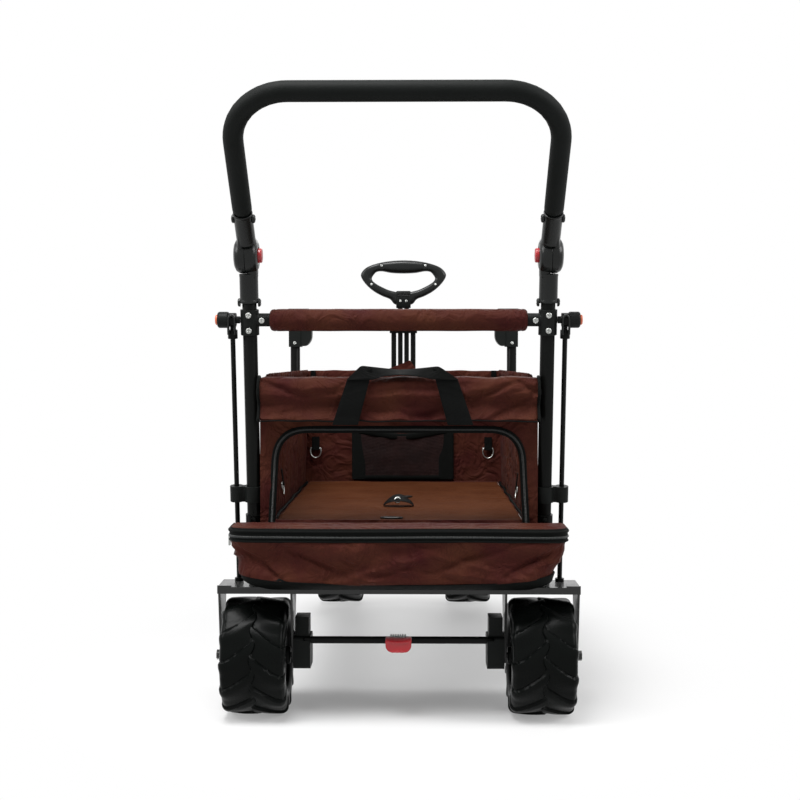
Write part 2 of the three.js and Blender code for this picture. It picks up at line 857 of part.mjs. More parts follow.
// Push-bar hinges: the inner half of each disc and a sleeve on the post, with a red release button in it.
const discInner = postX - discInset;
const discSplit = discInner + discThick / 2;
for (const [name, side] of sides) {
  const x = side * postX;
  const disc = rod(
    [side * discInner, 0, hingeRise],
    [side * (discSplit - seatGap / 2), 0, hingeRise],
    discRadius,
    16,
  );
  const sleeveTop = hingeRise - discRadius - runGap;
  const sleeve = rod([x, 0, sleeveTop - lowerSleeve], [x, 0, sleeveTop], sleeveOuter);
  const web = box(
    side * (postX - sleeveOuter),
    side * (discSplit - seatGap / 2),
    -webHalf,
    webHalf,
    sleeveTop - webHalf,
    hingeRise,
  );
  const bore = postBore(x, sleeveTop - lowerSleeve - cutOver, sleeveTop - sleeveFloor);
  const pocket = rod(
    [side * (discInner - cutOver), 0, hingeRise],
    [side * (discInner - buttonProud + buttonLength + buttonTravel + runGap), 0, hingeRise],
    buttonRadius + seatGap
  );
  const rivet = rod(
    [x, 0, sleeveTop - lowerSleeve + rivetRise],
    [side * (postX + sleeveOuter + screwProud), 0, sleeveTop - lowerSleeve + rivetRise],
    screwRadius,
  );
  place(leaning, `hinge_base_${name}`, cut(join(disc, sleeve, web, rivet), bore, pocket), "blackPlastic");
  const button = rod([0, 0, 0], [side * buttonLength, 0, 0], buttonRadius);
  const buttonGroup = groupAt(side * (discInner - buttonProud), 0, hingeRise, 0, leaning);
  place(buttonGroup, `hinge_button_${name}`, button, "red");
}

// Push bar: this group's origin is on the hinges' axis, its Z runs up the bar's legs.
class Bend extends THREE.Curve {
  constructor(middleX, middleZ, radius, start) {
    super();
    Object.assign(this, { middleX, middleZ, radius, start });
  }

  getPoint(share, target = new THREE.Vector3()) {
    const angle = this.start - (share * Math.PI) / 2;
    return target.set(
      this.middleX + this.radius * Math.cos(angle),
      0,
      this.middleZ + this.radius * Math.sin(angle),
    );
  }
}

const tubeStart = discRadius + runGap + sleeveFloor + seatGap;
const barPath = new THREE.CurvePath();
const bendZ = pushLength - bendRadius;
const bendX = postX - bendRadius;
const barLine = (xa, za, xb, zb) =>
  new THREE.LineCurve3(new THREE.Vector3(xa, 0, za), new THREE.Vector3(xb, 0, zb));
barPath.add(barLine(-postX, tubeStart, -postX, bendZ));
barPath.add(new Bend(-bendX, bendZ, bendRadius, Math.PI));
barPath.add(barLine(-bendX, pushLength, bendX, pushLength));
barPath.add(new Bend(bendX, bendZ, bendRadius, Math.PI / 2));
barPath.add(barLine(postX, bendZ, postX, tubeStart));

const alongBar = (section) =>
  solidOf(new THREE.ExtrudeGeometry(section, { steps: barSteps, extrudePath: barPath, bevelEnabled: false }));

const hinge = new THREE.Vector3(0, 0, hingeRise).applyAxisAngle(xAxis, postLean);
const pushBar = groupAt(0, hinge.y, crossbarHeight + hinge.z, pushLean);
const upperTop = discRadius + runGap + upperSleeve;

place(pushBar, "push_bar_tube", alongBar(ringOutline(postRadius, tubeSides)), "blackSteel");
place(
  pushBar,
  "push_bar_grip",
  cut(
    alongBar(ringOutline(foamRadius, tubeSides, postRadius + seatGap)),
    box(-2 * postX, 2 * postX, -postX, postX, 0, upperTop + runGap),
  ),
  "foam",
);

for (const [name, side] of sides) {
  const x = side * postX;
  const disc = rod(
    [side * (discSplit + seatGap / 2), 0, 0],
    [side * (discInner + discThick), 0, 0],
    discRadius,
    16,
  );
  const low = discRadius + runGap;
  const sleeve = rod([x, 0, low], [x, 0, upperTop], sleeveOuter);
  const web = box(
    side * (discSplit + seatGap / 2),
    side * (postX + sleeveOuter),
    -webHalf,
    webHalf,
    0,
    low + webHalf,
  );
  const bore = rod([x, 0, low + sleeveFloor], [x, 0, upperTop + cutOver], hole(postRadius));
  place(pushBar, `hinge_cap_${name}`, cut(join(disc, sleeve, web), bore), "blackPlastic");
}

// Fabric tub: rear wall with its doorway, the rolled-up door and its carry handle, and the foot box
// behind it.
const wallSeat = bridgeTop + seatGap;
const rearWallHalf = lugInner - seatGap;
const wallOutline = outline([
  [-rearWallHalf, wallSeat],
  [rearWallHalf, wallSeat],
  [rearWallHalf, rimHeight],
  [-rearWallHalf, rimHeight],
]);
wallOutline.holes.push(roundedOutline(-doorHalf, doorHalf, doorSill, doorTop, doorCorner, true, false));
place(wagon, "rear_wall", slabY(wallOutline, rearWallY, rearWallY + wallThick), "fabric");

const rollFront = rearWallY - seatGap;
const rollBack = rollFront - rollDepth;
place(
  wagon,
  "rolled_door",
  slabX(roundedOutline(rollBack, rollFront, rollBottom, rollTop, rollCorner), -rollHalf, rollHalf),
  "fabric",
);

const strapFace = rollBack - seatGap;
const strapLeg = (foot, head) =>
  slabY(
    outline([
      [foot - webbingWidth / 2, handleFootZ],
      [foot + webbingWidth / 2, handleFootZ],
      [head + webbingWidth / 2, handleTopZ],
      [head - webbingWidth / 2, handleTopZ],
    ]),
    strapFace - webbingThick,
    strapFace,
  );
place(
  wagon,
  "carry_handle",
  join(
    strapLeg(handleFootLeft, handleTopLeft),
    strapLeg(handleFootRight, handleTopRight),
    box(
      handleTopLeft - webbingWidth / 2,
      handleTopRight + webbingWidth / 2,
      strapFace - webbingThick,
      strapFace - webbingThick + handleRunDepth,
      handleTopZ - webbingThick,
      handleTopZ,
    ),
  ),
  "webbing",
);

const boxFront = rearWallY - seatGap;
const boxSides = outline([
  [-boxBottomHalf, boxBottom],
  [boxBottomHalf, boxBottom],
  [boxTopHalf, boxTop - boxZipHeight],
  [boxTopHalf, boxTop],
  [-boxTopHalf, boxTop],
  [-boxTopHalf, boxTop - boxZipHeight],
]);
const zipTop = boxTop - boxZipDrop;
const plan = (proud) =>
  roundedOutline(-boxTopHalf - proud, boxTopHalf + proud, -boxBack - proud, boxFront, boxCorner, false, true);
place(
  wagon,
  "foot_box",
  join(
    slabY(boxSides, -boxBack, boxFront).intersect(slabZ(plan(0), boxBottom, boxTop)),
    slabZ(plan(boxZipProud), zipTop - boxZipHeight, zipTop),
  ),
  "fabric",
);

const pullerX = -(boxTopHalf + boxZipProud + seatGap);
const pullerGroup = groupAt(pullerX, pullerRestY, zipTop - boxZipHeight / 2);
place(
  pullerGroup,
  "zip_slider",
  box(-pullerThick, 0, -pullerWidth / 2, pullerWidth / 2, -pullerHeight, pullerWidth / 2),
  "blackSteel",
);

const sideStart = rearWallY + wallThick + seatGap;
const sideEnd = frontWallY - seatGap;
for (const [name, side] of sides) {
  place(
    wagon,
    `side_wall_${name}`,
    box(side * sideInner, side * (sideInner + sideThick), sideStart, sideEnd, sideBottom, rimHeight),
    "fabric",
  );
}

// Floor: two boards with rails, hinged to the rear posts, to each other and to the front frame.
const pivotHole = (x, y, z) =>
  rod([-x, y, z], [x, y, z], hole(pivotRadius));
const rearRail = boardHalfWidth + railThick;
const frontRailInner = rearRail + seatGap;
const frontRail = frontRailInner + railThick;

function rearBoard() {
  const start = floorPivotY + boardStart;
  const end = middleY - middleGap / 2;
  let whole = box(-boardHalfWidth - seatGap, boardHalfWidth + seatGap, start, end, boardBottom, boardTop);
  const rail = barOutline(floorPivotY, floorAxisZ, middleY, floorAxisZ, earRadius);
  for (const [, side] of sides) {
    whole = join(whole, slabX(rail, side * boardHalfWidth, side * rearRail));
  }
  whole = cut(whole, pivotHole(frontRail + cutOver, floorPivotY, floorAxisZ));
  for (const [, side] of sides) {
    const middlePin = rod(
      [side * boardHalfWidth, middleY, floorAxisZ],
      [side * (frontRail + seatGap), middleY, floorAxisZ],
      pivotRadius,
    );
    whole = join(whole, middlePin);
  }
  return whole;
}

function frontBoard() {
  const start = middleY + middleGap / 2;
  const end = frontPivotY - boardStart;
  const shoulder = middleY + (earRadius + runGap) / Math.sin(foldedAngle); // clear of the folded rear rails
  let whole = join(
    box(-boardHalfWidth + runGap, boardHalfWidth - runGap, start, end, boardBottom, boardTop),
    box(-frontRail, frontRail, shoulder, end, boardBottom, boardTop),
  );
  const rail = barOutline(middleY, floorAxisZ, frontPivotY, floorAxisZ, earRadius);
  for (const [, side] of sides) {
    whole = join(whole, slabX(rail, side * frontRailInner, side * frontRail));
  }
  return cut(
    whole,
    pivotHole(frontRail + cutOver, middleY, floorAxisZ),
    pivotHole(frontRail + cutOver, frontPivotY, floorAxisZ),
  );
}

function mat(start, end) {
  const half = boardHalfWidth - runGap;
  return box(-half, half, start, end, matBottom, matTop);
}

place(wagon, "floor_board_rear", rearBoard(), "blackPlastic");
place(wagon, "floor_board_front", frontBoard(), "blackPlastic");
place(wagon, "floor_mat_rear", mat(floorPivotY + boardStart, middleY - middleGap / 2), "fabric");
place(wagon, "floor_mat_front", mat(middleY + middleGap / 2, frontPivotY - boardStart), "fabric");

// Side stays: two a side, hinged to the end frames and to each other, folding down.
const stayMiddleY = stayPivotY + floorHalf;
const stayFrontY = stayMiddleY + floorHalf;
for (const [name, side] of sides) {
  const rearFace = side * stayInset;
  const rearFar = rearFace + side * stayThick;
  const rearStay = cut(
    slabX(barOutline(stayPivotY, stayHeight, stayMiddleY, stayHeight, stayHalfWidth), rearFace, rearFar),
    rod(
      [rearFace - side * cutOver, stayPivotY, stayHeight],
      [rearFar + side * cutOver, stayPivotY, stayHeight],
      hole(pivotRadius),
    ),
    rod(
      [rearFace - side * cutOver, stayMiddleY, stayHeight],
      [rearFar + side * cutOver, stayMiddleY, stayHeight],
      stayHole,
    ),
  );
  place(wagon, `rear_stay_${name}`, rearStay, "blackSteel");
  const frontFace = rearFar + side * stayLap;
  const frontFar = frontFace + side * stayThick;
  const frontStay = join(
    cut(
      slabX(barOutline(stayMiddleY, stayHeight, stayFrontY, stayHeight, stayHalfWidth), frontFace, frontFar),
      rod(
        [frontFace - side * cutOver, stayFrontY, stayHeight],
        [frontFar + side * cutOver, stayFrontY, stayHeight],
        hole(pivotRadius),
      ),
    ),
    rod(
      [frontFar, stayMiddleY, stayHeight],
      [rearFace - side * stayLap, stayMiddleY, stayHeight],
      pivotRadius,
    ),
  );
  place(wagon, `front_stay_${name}`, frontStay, "blackSteel");
}

// Front end frame: posts, cross tube, arms and caster plates welded into one, and the pull handle's ears.
const crownBottom = axleZ + tyreRadius + crownGap;
const crownTop = crownBottom + crownThick;
const plateBottom = crownTop + raceHeight + seatGap;
const armBottom = plateBottom + casterPlate;

function frontFrame() {
  let whole = rod([-postX, frontPostY, crossTubeZ], [postX, frontPostY, crossTubeZ], crossTubeOuter);
  const tieY = swivelY - armOverhang - casterPlateHalf;
  whole = join(
    whole,
    box(-swivelX, swivelX, tieY - armHeight, tieY, armBottom, armBottom + armHeight),
  );
  for (const [, side] of sides) {
    const x = side * postX;
    const post = rod(
      [x, frontPostY, crossTubeZ - crossTubeOuter],
      [x, frontPostY, frontPostTop],
      frontPostRadius,
    );
    const arm = box(
      side * swivelX - armWidth / 2,
      side * swivelX + armWidth / 2,
      frontPostY,
      swivelY + armOverhang,
      armBottom,
      armBottom + armHeight,
    );
    const plate = box(
      side * swivelX - casterPlateHalf,
      side * swivelX + casterPlateHalf,
      swivelY - casterPlateHalf,
      swivelY + casterPlateHalf,
      plateBottom,
      armBottom + weldDepth,
    );
    const stemBore = rod(
      [side * swivelX, swivelY, plateBottom - cutOver],
      [side * swivelX, swivelY, plateBottom + stemReach + runGap],
      hole(stemRadius)
    );
    const lugFace = side * lugInner;
    const lugBack = frontPostY - frontPostRadius / 2;
    const hingeLug = slabX(
      barOutline(frontPivotY, floorAxisZ, lugBack, floorAxisZ, earRadius),
      lugFace,
      x - (side * frontPostRadius) / 2,
    );
    const hingePin = rod(
      [lugFace + side * weldDepth, frontPivotY, floorAxisZ],
      [side * (frontRailInner - seatGap), frontPivotY, floorAxisZ],
      pivotRadius,
    );
    const stayLug = slabX(
      barOutline(stayFrontY, stayHeight, lugBack, stayHeight, earRadius),
      lugFace,
      x - (side * frontPostRadius) / 2,
    );
    const stayPin = rod(
      [lugFace + side * weldDepth, stayFrontY, stayHeight],
      [side * (stayInset + stayThick), stayFrontY, stayHeight],
      pivotRadius,
    );
    const earInner = side * (pullBlockHalf + runGap);
    const pullEar = slabX(
      barOutline(frontPostY, crossTubeZ, pullPivotY, pullPivotZ, pullEarHalf),
      earInner,
      earInner + side * pullEarThick,
    );
    whole = cut(join(whole, post, arm, plate, hingeLug, hingePin, stayLug, stayPin, pullEar), stemBore);
  }
  const pullPin = rod(
    [-pullBlockHalf - pullEarThick, pullPivotY, pullPivotZ],
    [pullBlockHalf + pullEarThick, pullPivotY, pullPivotZ],
    axleRadius,
  );
  return join(whole, pullPin);
}
place(wagon, "front_frame", frontFrame(), "blackSteel");

const frontWallHalf = postX - frontPostRadius + seatGap;
place(
  wagon,
  "front_wall",
  box(-frontWallHalf, frontWallHalf, frontWallY, frontWallY + wallThick, sideBottom, rimHeight),
  "fabric",
);

// Front crossbar: the bar, its pad and the two corner brackets that cap the posts.
function frontCrossbar() {
  let whole = join(
    rod([-postX, frontPostY, frontBarZ], [postX, frontPostY, frontBarZ], frontBarRadius),
    rod([-frontPadHalf, frontPostY, frontBarZ], [frontPadHalf, frontPostY, frontBarZ], frontPadRadius),
  );
  for (const [, side] of sides) {
    const corner = outline([
      [side * cornerInner, cornerTop],
      [side * cornerOuter, cornerTop],
      [side * cornerOuter, cornerBottom],
      [side * (cornerOuter - cornerDepth), cornerBottom],
      [side * (cornerOuter - cornerDepth), cornerTop - 2 * cornerArm],
      [side * cornerInner, cornerTop - cornerArm],
    ]);
    const half = cornerDepth / 2;
    const bore = rod(
      [side * postX, frontPostY, cornerBottom - cutOver],
      [side * postX, frontPostY, frontPostTop + seatGap],
      frontPostRadius + seatGap
    );
    whole = cut(join(whole, slabY(corner, frontPostY - half, frontPostY + half)), bore);
  }
  return whole;
}
place(wagon, "front_crossbar", frontCrossbar(), "blackPlastic");

// Swivel wheels: each fork turns about its stem, and the wheel's axle trails ahead of it.
for (const [name, side] of sides) {
  const swivel = groupAt(side * swivelX, swivelY, 0);
  const leg = legOutline(casterTrail, axleZ, casterTrail / 2, crownBottom + weldDepth);
  const outside = legInner + legThick;
  const nutFace = outside + nutThick / 2;
  const stemTop = plateBottom + stemReach;
  const fork = join(
    box(
      -outside,
      outside,
      casterTrail / 2 - legTopDepth / 2,
      casterTrail / 2 + legTopDepth / 2,
      crownBottom,
      crownTop,
    ),
    slabX(leg, legInner, outside),
    slabX(leg, -outside, -legInner),
    rod([-nutFace, casterTrail, axleZ], [nutFace, casterTrail, axleZ], axleRadius),
    rod([0, 0, crownTop - weldDepth], [0, 0, crownTop + raceHeight], raceRadius),
    rod([0, 0, crownTop], [0, 0, stemTop], stemRadius),
  );
  place(swivel, `caster_fork_${name}`, fork, "blackSteel");
  addWheel(groupAt(0, casterTrail, axleZ, 0, swivel), "caster", name, side, false);
}

// Pull handle: this group's origin is on its pivot. Two outer tubes carry two sliding ones with the grip.
const pull = groupAt(0, pullPivotY, pullPivotZ);
const collarLow = collarBlockBottom - pullPivotZ;
const collarHigh = collarBlockTop - pullPivotZ;

function pullLower() {
  const half = pullBlockHeight / 2;
  let whole = join(
    box(-pullBlockHalf, pullBlockHalf, -pullBlockDepth / 2, pullBlockDepth / 2, -half, half),
    box(
      -collarBlockHalf,
      collarBlockHalf,
      -collarBlockDepth / 2,
      collarBlockDepth / 2,
      collarLow,
      collarHigh,
    ),
  );
  for (const [, side] of sides) {
    const tubeX = side * pullOuterX;
    const outer = rod([tubeX, 0, 0], [tubeX, 0, collarLow + weldDepth], pullOuterRadius);
    const bore = rod(
      [side * pullInnerX, 0, collarLow - cutOver],
      [side * pullInnerX, 0, collarHigh + cutOver],
      pullInnerRadius + seatGap,
    );
    whole = cut(join(whole, outer), bore);
  }
  return cut(
    whole,
    rod([-pullBlockHalf - cutOver, 0, 0], [pullBlockHalf + cutOver, 0, 0], hole(axleRadius)),
  );
}
place(pull, "pull_tubes_lower", pullLower(), "blackSteel");

const innerLow = innerFoot - pullPivotZ;
const innerHigh = neckBottom - pullPivotZ + stubGrip;
const innerTube = (side) =>
  rod([side * pullInnerX, 0, innerLow], [side * pullInnerX, 0, innerHigh], pullInnerRadius);
const innerTie = box(-pullInnerX, pullInnerX, -pullTie, pullTie, innerLow, innerLow + 2 * pullInnerRadius);
place(pull, "pull_tubes_upper", join(innerTube(-1), innerTube(1), innerTie), "blackSteel");

// The grip's outline: shares of its half width and of its height above the neck's foot.
const gripOuterShares = [
  [0.19, 0],
  [0.19, 0.3],
  [0.5, 0.42],
  [0.87, 0.62],
  [1, 0.79],
  [0.93, 0.94],
  [0.66, 1],
];
const gripInnerShares = [
  [0.24, 0.43],
  [0.56, 0.53],
  [0.74, 0.68],
  [0.78, 0.77],
  [0.6, 0.79],
];

function pullGrip() {
  const low = neckBottom - pullPivotZ;
  const height = gripTop - neckBottom;
  const mirrored = (shares) => [
    ...shares.map(([across, up]) => [across * gripHalf, low + up * height]),
    ...[...shares].reverse().map(([across, up]) => [-across * gripHalf, low + up * height]),
  ];
  const shape = outline(mirrored(gripOuterShares));
  shape.holes.push(outline(mirrored(gripInnerShares)));
  const bores = sides.map(([, side]) =>
    rod(
      [side * pullInnerX, 0, low - cutOver],
      [side * pullInnerX, 0, innerHigh + seatGap],
      pullInnerRadius + seatGap,
    ),
  );
  return cut(slabY(shape, -neckDepth / 2, neckDepth / 2), ...bores);
}
place(pull, "pull_grip", pullGrip(), "blackPlastic");

// The finished wagon stands with the middle of its box over the origin.
wagon.updateMatrixWorld(true);
const wholeBox = new THREE.Box3().setFromObject(wagon, true);
wagon.position.y = -(wholeBox.min.y + wholeBox.max.y) / 2;

export default wagon;
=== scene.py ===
# %% [markdown]
# # Dressing a folding beach wagon
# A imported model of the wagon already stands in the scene: plain solids, each in its place and each tied to
# the body that moves it. This lesson leaves those solids where they are and dresses them. Hard parts get
# rounded edges and the right surface, and cloth, foam and tread are built anew on the places that their
# solids hold.

import json
import math

import bmesh
import bpy
import numpy as np
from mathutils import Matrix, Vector

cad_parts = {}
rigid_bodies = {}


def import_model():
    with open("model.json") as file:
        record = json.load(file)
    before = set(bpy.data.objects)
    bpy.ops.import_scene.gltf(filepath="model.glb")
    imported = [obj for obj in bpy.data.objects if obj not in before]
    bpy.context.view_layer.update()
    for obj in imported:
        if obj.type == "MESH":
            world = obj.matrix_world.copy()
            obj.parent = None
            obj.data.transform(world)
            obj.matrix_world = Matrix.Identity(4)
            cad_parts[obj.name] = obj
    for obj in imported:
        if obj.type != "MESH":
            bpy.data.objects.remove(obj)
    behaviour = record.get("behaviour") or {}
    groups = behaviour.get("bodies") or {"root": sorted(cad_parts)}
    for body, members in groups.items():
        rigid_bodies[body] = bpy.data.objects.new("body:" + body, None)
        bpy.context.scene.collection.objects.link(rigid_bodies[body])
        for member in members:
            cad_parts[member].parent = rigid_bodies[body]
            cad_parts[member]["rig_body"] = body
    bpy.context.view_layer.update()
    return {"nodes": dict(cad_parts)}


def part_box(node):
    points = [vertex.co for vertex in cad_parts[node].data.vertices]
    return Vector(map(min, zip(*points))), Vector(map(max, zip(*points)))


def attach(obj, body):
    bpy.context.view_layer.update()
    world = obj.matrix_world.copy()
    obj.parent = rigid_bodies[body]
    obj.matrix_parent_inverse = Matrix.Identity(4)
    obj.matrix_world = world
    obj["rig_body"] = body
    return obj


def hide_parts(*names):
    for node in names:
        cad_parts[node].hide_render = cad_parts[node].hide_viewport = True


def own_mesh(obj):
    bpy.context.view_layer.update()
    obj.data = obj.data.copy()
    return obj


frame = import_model()
nodes = frame["nodes"]

# %% [markdown]
# ## One ruler for the whole lesson
# Every length below is in millimetres. X runs to the right of a person who pushes, Y runs forwards from the
# plane of the rear crossbar, and Z is the height over the ground. One function turns such points into
# Blender's metres, so a piece is drawn where a tape measure would find it on the wagon. Parts on the
# leaning posts and on the push bar are drawn upright about their own axis first. Then they lean as a whole.

# %% Millimetres from the crossbar's plane
MM = 0.001
SIDES = (("left", -1), ("right", 1))
bar_low, bar_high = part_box("crossbar_tube")
BAR_PLANE = (bar_low.y + bar_high.y) / 2
BAR_HEIGHT = (bar_low.z + bar_high.z) / 2 / MM
POST_LEAN, PUSH_LEAN = math.radians(8.5), math.radians(45.5)
POST_X, HINGE_RISE = 256.0, 110.0


def xyz(x, y, z):
    """Three fields of coordinates, spread over one grid of points."""
    return np.stack(np.broadcast_arrays(x, y, z), axis=-1)


def metres(points):
    """Millimetres from the crossbar's plane, turned into metres in the wagon's own frame."""
    moved = np.asarray(points, float) * MM
    moved[..., 1] += BAR_PLANE
    return moved


def leaned(points, angle, origin):
    """Points turned about X by the angle, then moved to the origin: y cos - z sin, y sin + z cos."""
    points = np.asarray(points, float)
    c, s = math.cos(angle), math.sin(angle)
    x, y, z = points[..., 0], points[..., 1], points[..., 2]
    return xyz(x, y * c - z * s, y * s + z * c) + np.asarray(origin, float)


CROSSBAR = (0.0, 0.0, BAR_HEIGHT)
HINGE = tuple(leaned((0, 0, HINGE_RISE), POST_LEAN, CROSSBAR))


def post_seat(points):
    """Points drawn with the crossbar's axis as origin and Z up the post."""
    return metres(leaned(points, POST_LEAN, CROSSBAR))


def bar_seat(points):
    """Points drawn with the hinge's axis as origin and Z up the legs of the push bar."""
    return metres(leaned(points, PUSH_LEAN, HINGE))


print("crossbar at", round(BAR_HEIGHT, 1), "mm, hinges at", [round(float(v), 1) for v in HINGE])

# %% [markdown]
# ## The camera
# The picture was taken from behind the push bar, level with its hinges and a little to the right of the
# middle. The lens is found from two lengths whose real ratio is known: the front tyres are as wide as the
# rear ones, so how much smaller they look gives the distance. The camera looks slightly down and slightly
# to the left.

# %% Place the camera
PICTURE, SENSOR, FOCAL = 800, 36, 1224.6
EYE_MM = (30.0, -2106.5, 624.0)
LEFT_PX, DOWN_PX = 16, 40


def link(name, data):
    """A new object in the scene."""
    made = bpy.data.objects.new(name, data)
    bpy.context.scene.collection.objects.link(made)
    return made


camera = link("camera", bpy.data.cameras.new("camera"))
camera.data.sensor_width = SENSOR
camera.data.lens = SENSOR * FOCAL / PICTURE
camera.data.clip_end = 100
camera.location = metres(EYE_MM)
sight = Vector((-LEFT_PX / FOCAL, 1.0, -DOWN_PX / FOCAL))
camera.rotation_euler = sight.to_track_quat("-Z", "Y").to_euler()
bpy.context.scene.camera = camera
print("lens", round(camera.data.lens, 1), "mm")

# %% [markdown]
# ## Small tools for materials
# Colours are written as the hex values that a paint chart gives, and one function turns them into the
# linear numbers that Blender mixes. A second function adds one node with its settings and links, so that
# each material below reads as a short list of what the surface is made of.


# %% Colour and node helpers
def paint(code):
    """A hex colour turned from sRGB to linear: below 0.04045 a straight line, above it a power of 2.4."""
    values = [int(code[i : i + 2], 16) / 255 for i in (1, 3, 5)]
    return [v / 12.92 if v <= 0.04045 else ((v + 0.055) / 1.055) ** 2.4 for v in values] + [1.0]


def add(tree, kind, inputs=None, **settings):
    """One node of a kind, with its settings. An input is a value or the socket that feeds it."""
    made = tree.nodes.new("ShaderNode" + kind)
    for name, value in settings.items():
        setattr(made, name, value)
    for name, value in (inputs or {}).items():
        if isinstance(value, bpy.types.NodeSocket):
            tree.links.new(value, made.inputs[name])
        else:
            made.inputs[name].default_value = value
    return made


def new_material(name, **surface):
    """A material with a Principled shader, whose even values are set on the shader's own sockets."""
    made = bpy.data.materials.new(name)
    made.use_nodes = True
    shader = made.node_tree.nodes["Principled BSDF"]
    for socket, value in surface.items():
        shader.inputs[socket.replace("_", " ")].default_value = value
    return made, made.node_tree, shader


def feed(tree, shader, **sockets):
    """Links each socket to the shader's input of that name."""
    for name, socket in sockets.items():
        tree.links.new(socket, shader.inputs[name.replace("_", " ")])


def between(tree, factor, first, second):
    """A colour that runs from the first hex colour to the second with the factor."""
    mix = add(tree, "Mix", {"Factor": factor, 6: paint(first), 7: paint(second)}, data_type="RGBA")
    return mix.outputs[2]


# %% [markdown]
# ## Moulded, coated and plated surfaces
# The frame is mild steel under black powder coat: baked polyester with a very fine orange-peel skin, so its
# highlights are soft but clear. Clamps, knobs, hinges and rims are glass-filled nylon with a sparked mould
# grain. Buttons and the pedal are ABS, smoother and brighter. All of them share one recipe: a colour that
# drifts slightly, a grain of a real size, and a roughness that the grain disturbs.


# %% Hard surfaces
DRIFT_MM, UNEVEN = 60, 0.08


def hard_surface(name, light, dark, grain_mm, grain, roughness, **surface):
    """A coated or moulded skin: colour that drifts, and a grain grain_mm across that bends the surface and
    unsettles its roughness."""
    made, tree, shader = new_material(name, **surface)
    place = add(tree, "TexCoord").outputs["Object"]
    drift = add(tree, "TexNoise", {"Vector": place, "Scale": 1 / (DRIFT_MM * MM), "Detail": 3.0})
    fine = add(tree, "TexNoise", {"Vector": place, "Scale": 1 / (grain_mm * MM), "Detail": 2.0})
    fine = fine.outputs["Fac"]
    rough = add(tree, "MapRange", {"Value": fine, "To Min": roughness - UNEVEN, "To Max": roughness + UNEVEN})
    bump = add(tree, "Bump", {"Height": fine, "Strength": grain, "Distance": grain_mm * MM / 4})
    colour = between(tree, drift.outputs["Fac"], light, dark)
    feed(tree, shader, Base_Color=colour, Roughness=rough.outputs["Result"], Normal=bump.outputs["Normal"])
    return made


DULL = {"Specular_IOR_Level": 0.07}
CLEAR_COAT = {"Coat_Weight": 0.62, "Coat_Roughness": 0.2, "Specular_IOR_Level": 0.1}
powder_coat = hard_surface("black_powder_coat", "#101110", "#0B0C0B", 1.2, 0.25, 0.3, **DULL)
# The bridge plate's black is a little lighter than the frame's, under a clear coat.
plate_coat = hard_surface("clear_coated_plate_black", "#181918", "#101110", 1.2, 0.2, 0.3, **CLEAR_COAT)
nylon = hard_surface("black_glass_filled_nylon", "#1A1C1B", "#131514", 0.9, 0.35, 0.42, **DULL)
satin_nylon = hard_surface(
    "satin_black_nylon", "#141615", "#0E100F", 0.9, 0.15, 0.28, Specular_IOR_Level=0.24
)
red_abs = hard_surface("red_abs", "#A51F26", "#8E141B", 1.5, 0.1, 0.32)
orange_abs = hard_surface("orange_abs", "#C8653F", "#BE5A36", 1.5, 0.1, 0.4)
zinc = hard_surface("zinc_plated_steel", "#B9BBB8", "#9FA19E", 0.7, 0.2, 0.32, Metallic=1.0)
eva_foam = hard_surface("closed_cell_eva_foam", "#171918", "#111312", 1.6, 0.6, 0.58, **DULL)
eva_tread = hard_surface(
    "moulded_eva_tread", "#080A09", "#050706", 1.4, 0.3, 0.28, Specular_IOR_Level=0.06
)

# %% [markdown]
# ## Cloth
# The tub is sewn from coated polyester, an Oxford weave of about 0.5 mm threads. That is finer than a pixel
# here, so the weave is drawn at 1.6 mm, coarse enough to break up the highlight. The coating gives the
# cloth a slight sheen and lets it hold creases. Webbing is woven polypropylene, with ribs that run along
# the strap. Both follow each piece's own flat measure, its UV map in millimetres, as threads do.


# %% Cloth surfaces
PATCH_MM, CREASE_MM, CREASE_DEPTH_MM = 90, 50, 16


def threads_along(tree, direction, pitch_mm, **uneven):
    """Stripes pitch_mm apart across X or Y of the flat measure. A wave texture repeats every pi / 10 over its
    scale, so the scale is pi / 10 over the pitch."""
    flat = add(tree, "UVMap").outputs["UV"]
    inputs = {"Vector": flat, "Scale": math.pi / 10 / pitch_mm, **uneven}
    return add(tree, "TexWave", inputs, bands_direction=direction).outputs["Fac"]


def woven(name, light, dark, pitch_mm, depth, roughness, crease, **surface):
    """A plain weave: two sets of threads at right angles, pitch_mm apart, over creases. The colour runs in
    random patches from the light colour to the dark one, which are painted lit and painted shaded cloth, and
    the gaps between the threads are darker."""
    made, tree, shader = new_material(name, Roughness=roughness, **surface)
    place = add(tree, "TexCoord").outputs["Object"]
    warp, weft = (threads_along(tree, direction, pitch_mm) for direction in "XY")
    threads = add(tree, "Math", {0: warp, 1: weft}, operation="MULTIPLY").outputs["Value"]
    cloudy = {"Vector": place, "Scale": 1 / (PATCH_MM * MM), "Detail": 4.0, "Roughness": 0.6}
    # Random patches of painted light and shade: the noise mixes the lit colour with the shaded one.
    lit_and_shaded_patches = add(tree, "TexNoise", cloudy)
    patches = add(tree, "MapRange", {"Value": lit_and_shaded_patches.outputs["Fac"], "From Min": 0.3, "From Max": 0.7})
    shade = between(tree, patches.outputs["Result"], light, dark)
    dark_gap = add(tree, "MapRange", {"Value": threads, "To Min": 0.82, "To Max": 1.08})
    tinted = add(tree, "HueSaturation", {"Color": shade, "Value": dark_gap.outputs["Result"]})
    uneven = {"Vector": place, "Scale": 1 / (CREASE_MM * MM), "Detail": 2.5, "Distortion": 2.0}
    ridges = add(tree, "TexNoise", uneven).outputs["Fac"]
    folds = add(tree, "Bump", {"Height": ridges, "Strength": crease, "Distance": CREASE_DEPTH_MM * MM})
    weave = {"Height": threads, "Strength": depth, "Distance": pitch_mm * MM / 3}
    weave = add(tree, "Bump", {**weave, "Normal": folds.outputs["Normal"]})
    feed(tree, shader, Base_Color=tinted.outputs["Color"], Normal=weave.outputs["Normal"])
    return made


